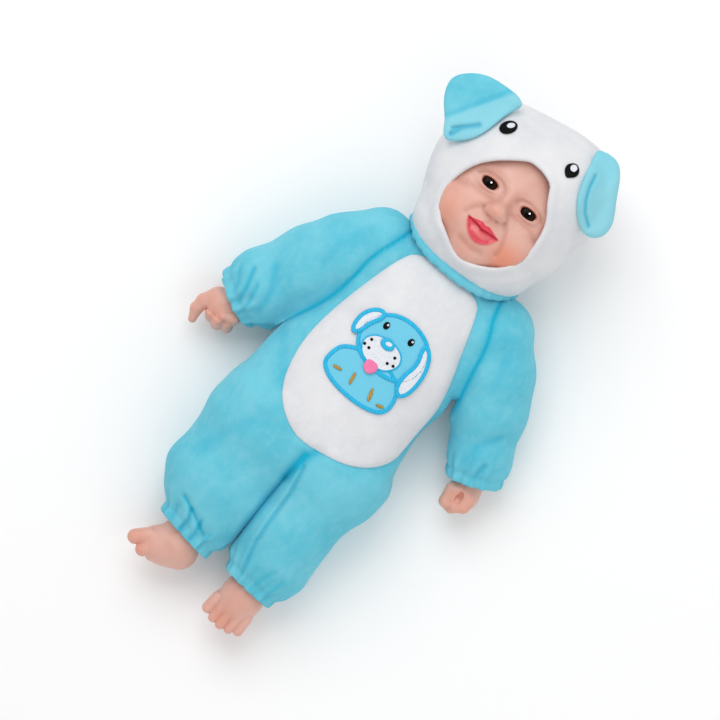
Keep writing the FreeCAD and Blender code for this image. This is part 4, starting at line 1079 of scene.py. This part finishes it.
head = solid("doll_head", face, (-52, 64, 1), (52, 187, 114), 0.85)
hx, hy, hz = points_of(head).T
hy = hy + DROP
frontal = ramp(hz, 80, 86)
lips = outline(hx, hy, LIPS)
mouth = outline(hx, hy, MOUTH)
soft = 0.5 + 1.1 * ramp(-hy, -110.5, -107.5)
paint(head, "lip", frontal * ramp(-lips / soft, -0.6, 1.0) * (1 - 0.32 * ramp(-mouth, 0.2, 3.2)))
# Painted shade: a dark red line where the upper lip overhangs the open mouth, with a softer band of it round
# the line.
paint(head, "deep", frontal * np.clip(0.95 * gauss(line(hx, hy, MOUTH_TOP), 0.5)
                                      + 0.22 * gauss(line(hx, hy, MOUTH_TOP), 1.5), 0, 1))
blush = 0.8 * gauss(length(hx - 25, hy - 103), 11) + 0.35 * gauss(length(hx + 27, hy - 107), 12)
blush = blush + 0.2 * gauss(length(hx, hy - 123), 7) + 0.25 * gauss(length(hx - 1, hy - 96), 8)
paint(head, "blush", np.clip(blush, 0, 1) * frontal)
# Painted shade round each eye's opening, in the lid crease, in the nostrils, beside the nose and along the
# smile lines; the dark line along each upper lid is the painted lash line.
shade = 0.0
for word, (cx, cy) in EYES.items():
    lid = lid_edge(hx, hy, word)
    shade = shade + 0.95 * gauss(lid - 0.2, 0.7) * ramp(hy, cy - 1.0, cy + 1.5)
    shade = shade + 0.22 * gauss(lid - 3.4, 1.3) * (hy > cy) + 0.3 * gauss(lid - 0.3, 0.6)
for s in (-1, 1):
    shade = shade + 0.25 * gauss(length(hx - 0.9 - s * 3.5, (hy - 119.3) * 1.3), 1.3)
    shade = shade + 0.16 * gauss(length(hx - 0.9 - s * 9.4, (hy - 122.5) * 0.6), 1.2)
for pts, deep, wide in SMILE:
    shade = shade + 0.2 * deep * gauss(line(hx, hy, pts), wide * 0.8)
paint(head, "shade", np.clip(shade, 0, 1) * frontal)
dress(head, SKIN, "vinyl", "head", "head_shell")


def eye_look():
    """Dark brown iris under a clear cornea, a thin pale white round it."""
    k = Look("doll_eye", Roughness=0.16, Specular_IOR_Level=0.06)
    r = k.attribute("radius")
    spokes = k.noise(0.9, 3.0, 0.7, (1.0, 1.0, 0.2))
    iris = k.mix(k.spread(spokes, 0.35, 0.7), lin(20, 11, 8), lin(52, 28, 18))
    col = k.mix(k.spread(r, 2.4, 3.0), lin(5, 4, 4), iris)
    col = k.mix(k.spread(r, 5.5, 5.9), col, lin(196, 178, 170))
    k.colour(col)
    k.bumps((k.noise(1.5, 2.0), 0.004))
    return k.m


EYE_LOOK = eye_look()
# A painted highlight: a small white spot on each eye that glows a little, standing in for a reflection of the
# lamp.
GLINT = Look("eye_glint", Roughness=0.3, Emission_Strength=0.9)
GLINT.bsdf.inputs["Emission Color"].default_value = (1, 1, 1, 1)
GLINT.colour(GLINT.mix(GLINT.noise(2.0), lin(250, 250, 250), lin(255, 255, 255)))
for word, (cx, cy) in EYES.items():
    cy = cy - DROP
    eye = solid("eye_" + word + "_ball", lambda p: ellipsoid(p, (cx, cy, EYE_Z), (EYE_R,) * 3),
                (cx - 11, cy - 11, EYE_Z - 11), (cx + 11, cy + 11, EYE_Z + 11), 0.7)
    ex, ey, ez = points_of(eye).T
    paint(eye, "radius", np.where(ez > EYE_Z, length(ex - cx, ey - cy), 9))
    dress(eye, EYE_LOOK, "eye_plastic", "head", "eye_" + word)
    gx, gy = cx + 0.6, cy + 0.9
    gz = EYE_Z + math.sqrt(EYE_R ** 2 - 0.6 ** 2 - 0.9 ** 2)
    spot = solid("eye_glint_" + word, lambda p: ellipsoid(p, (gx, gy, gz), (0.62, 0.62, 0.35)),
                 (gx - 1, gy - 1, gz - 1), (gx + 1, gy + 1, gz + 1), 0.2)
    dress(spot, GLINT.m, "eye_plastic", "head")


# ---- hands and feet

def plain_paint(obj, blush):
    n = len(obj.data.vertices)
    for name in ("lip", "deep", "shade"):
        paint(obj, name, np.zeros(n))
    paint(obj, "blush", blush)


def hand_right(p):
    """A loose fist with the first finger pointing."""
    f = bone(p, (-98, -20, 20), (-102.5, -38, 20), 9.5, 11.0)
    f = smin(f, ellipsoid(p, (-104, -43, 20), (12, 9.5, 9.5)), 5)
    finger = chain(p, [(-112, -38, 21), (-117, -47, 21), (-117.8, -54, 20), (-115.6, -61.5, 18.5)],
                   [6.0, 4.9, 4.3, 3.0], 2)
    f = smin(f, finger, 2.4)
    for a, b, r in (((-108, -50, 23), (-106.6, -52.5, 15), 4.4),
                    ((-101, -50.5, 25), (-100.4, -54.0, 15), 4.7),
                    ((-94.4, -48.5, 24), (-93.4, -51.8, 15), 4.4)):
        f = smin(f, bone(p, a, b, r, r - 0.4), 1.0)
    thumb = chain(p, [(-93, -37, 22), (-93.5, -43.5, 27.5), (-99.5, -46.5, 29.5)], [5.2, 4.4, 3.4], 2)
    f = smin(f, thumb, 1.2)
    return f + 0.8 * gauss(line(p[0], p[1], [(-112, -50), (-101.5, -50.6)]), 0.9) * ramp(p[2], 18, 24)


def hand_left(p):
    """A closed fist seen from the thumb's side, with the hollow of the curled finger."""
    f = bone(p, (101, -16, 20), (104.8, -36, 20), 9.5, 11.2)
    f = smin(f, ellipsoid(p, (104.6, -42, 20), (10.8, 10, 10.5)), 5)
    f = smin(f, chain(p, [(97.2, -40, 25), (98.4, -49.5, 24), (104.5, -51, 22)], [5.2, 4.2, 4.0], 2), 2.0)
    f = smin(f, chain(p, [(110, -38, 26), (110.6, -45, 26), (106, -49.5, 26)], [5.0, 4.3, 3.8], 2), 2.0)
    hollow = ellipsoid(p, (104.3, -42.5, 31.5), (2.5, 4.9, 5.0))
    f = smax(f, -hollow, 1.2)
    f = smin(f, ellipsoid(p, (104.6, -44.5, 26.0), (2.2, 2.6, 2.6)), 0.8)
    return f + 0.5 * gauss(line(p[0], p[1], [(103, -38), (101.5, -32)]), 0.8) * ramp(p[2], 20, 26)


def toes_of(f, p, toes, k=0.7):
    for a, b, r in toes:
        f = smin(f, bone(p, a, b, r, r * 0.96), k)
    return f


def foot_right(p):
    """Turned out: the big toe leads, the others sit under it."""
    f = bone(p, (-27, -170, 27), (-26.5, -188, 27), 14, 15)
    f = smin(f, bone(p, (-21, -192, 24), (-35, -196, 26), 11.5, 12.5), 6)
    f = smin(f, bone(p, (-32, -195.5, 26), (-39.5, -196.5, 26), 11.5, 9.6), 5)
    return toes_of(f, p, [((-44, -194.5, 31.5), (-51.6, -202.0, 31), 5.6),
                          ((-37.5, -197, 32), (-42.2, -205.6, 31), 5.3),
                          ((-31.5, -198, 29), (-35.0, -204.8, 27), 4.9),
                          ((-26.5, -198, 24), (-28.2, -201.6, 22), 4.4)])


def foot_left(p):
    """Toes down, the top of the foot to the front."""
    f = bone(p, (32, -170, 27), (31.4, -189, 27), 14, 14)
    f = smin(f, bone(p, (31.2, -190, 24), (31, -196.5, 24), 14.2, 12.8), 6)
    f = smin(f, ellipsoid(p, (31, -199, 22), (16.4, 7.5, 9)), 4)
    return toes_of(f, p, [((18.6, -199, 29), (17.8, -208.6, 28), 4.3),
                          ((25.0, -198, 33), (24.8, -211.6, 29), 3.7),
                          ((31.4, -198, 33.6), (31.5, -212.4, 29), 3.7),
                          ((37.8, -198, 32.5), (38.0, -211.2, 28), 3.6),
                          ((43.4, -198, 29), (44.0, -208.4, 27), 3.8)], 0.6)


LIMBS = {
    "hand_right": (hand_right, (-124, -67, 6), (-84, -12, 37), (-105, -50)),
    "hand_left": (hand_left, (90, -57, 6), (120, -8, 37), (104, -46)),
    "foot_right": (foot_right, (-61, -216, 8), (-6, -156, 44), (-48, -204)),
    "foot_left": (foot_left, (11, -219, 8), (51, -156, 44), (31, -210)),
}
for name, (field, low, high, warm) in LIMBS.items():
    limb = solid(name + "_vinyl", field, low, high, 0.8)
    lx, ly = points_of(limb).T[:2]
    plain_paint(limb, 0.3 * gauss(length(lx - warm[0], ly - warm[1]), 13))
    dress(limb, SKIN, "vinyl", name, name)


# ---- the back

def flap_piece(p):
    x, y, z = p
    box = rounded([(-37.2, -59.2), (45.2, -59.2), (45.2, 35.2), (-37.2, 35.2)], 3)
    d = outline(x, y, box)
    f = slab(d, z - 2.4, 2.1, 2.6) + 0.12 * swell(p, 16, 41)
    return f + 0.45 * gauss(np.abs(d + 4.0), 0.9)


flap = solid("back_flap_cloth", flap_piece, (-40, -62, -1), (48, 38, 7), 1.0)
dress(flap, BLUE, "plush", "back_flap", "back_flap")


# ---- the spring under the button

def coil_piece(low, high, turns, wire):
    """A compression spring of round wire that fills a node's box."""
    middle = [(low[i] + high[i]) / 2 for i in range(3)]
    radius = (high[0] - low[0]) / 2 - wire
    rise = high[2] - low[2] - 2 * wire
    steps, sides = 36 * turns, 10
    verts = []
    for i in range(steps + 1):
        a = 2 * math.pi * turns * i / steps
        z = low[2] + wire + rise * i / steps
        for j in range(sides):
            b = 2 * math.pi * j / sides
            r = radius + wire * math.cos(b)
            verts.append((middle[0] + r * math.cos(a), middle[1] + r * math.sin(a), z + wire * math.sin(b)))
    faces = []
    for i in range(steps):
        for j in range(sides):
            a, b = i * sides + j, i * sides + (j + 1) % sides
            faces.append((a, b, b + sides, a + sides))
    faces.append(tuple(range(sides))[::-1])
    faces.append(tuple(steps * sides + j for j in range(sides)))
    mesh = bpy.data.meshes.new("spring_coil")
    mesh.from_pydata(verts, [], faces)
    mesh.shade_smooth()
    return place("spring_coil", mesh)


spring_low, spring_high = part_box("button_spring")
spring = coil_piece(spring_low, spring_high, 5, 0.5 * MM)
dress(spring, PARTS["steel"], "steel", "torso", "button_spring")
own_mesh(spring)


# ---- floor, light and camera

stage_mesh = bpy.data.meshes.new("floor")
reach = 3.0
corners = [(-reach, -reach, 0), (reach, -reach, 0), (reach, reach, 0), (-reach, reach, 0)]
stage_mesh.from_pydata(corners, [], [(0, 1, 2, 3)])
floor = place("floor", stage_mesh)
floor.location.z = -0.0006
pale = Look("pale_floor", Roughness=0.9)
pale.colour(pale.mix(pale.noise(400), lin(250, 250, 250), lin(252, 252, 252)))
floor.data.materials.append(pale.m)


def lamp(name, where, target, size, power):
    data = bpy.data.lights.new(name, "AREA")
    data.size = size
    data.energy = power
    obj = place(name, data)
    obj.location = where
    way = np.array(target) - np.array(where)
    obj.rotation_euler = Vector(way).to_track_quat("-Z", "Y").to_euler()


lamp("key", (-0.7, 0.75, 1.4), (0, 0, 0.04), 1.3, 13.8)
lamp("fill", (1.1, -0.6, 1.3), (0, 0, 0.04), 1.8, 6)
world = bpy.data.worlds.new("studio")
bpy.context.scene.world = world
world.use_nodes = True
world.node_tree.nodes["Background"].inputs["Color"].default_value = (1, 1, 1, 1)
world.node_tree.nodes["Background"].inputs["Strength"].default_value = 0.65
bpy.context.scene.view_settings.view_transform = "Standard"

# The doll lies turned 39 degrees under a camera that looks straight down on it.
camera_data = bpy.data.cameras.new("camera")
camera_data.lens = 200
camera_data.sensor_width = 36
camera = place("camera", camera_data)
camera.location = [c * MM for c in CAMERA]
camera.rotation_euler = (0, 0, math.radians(39))
bpy.context.scene.camera = camera
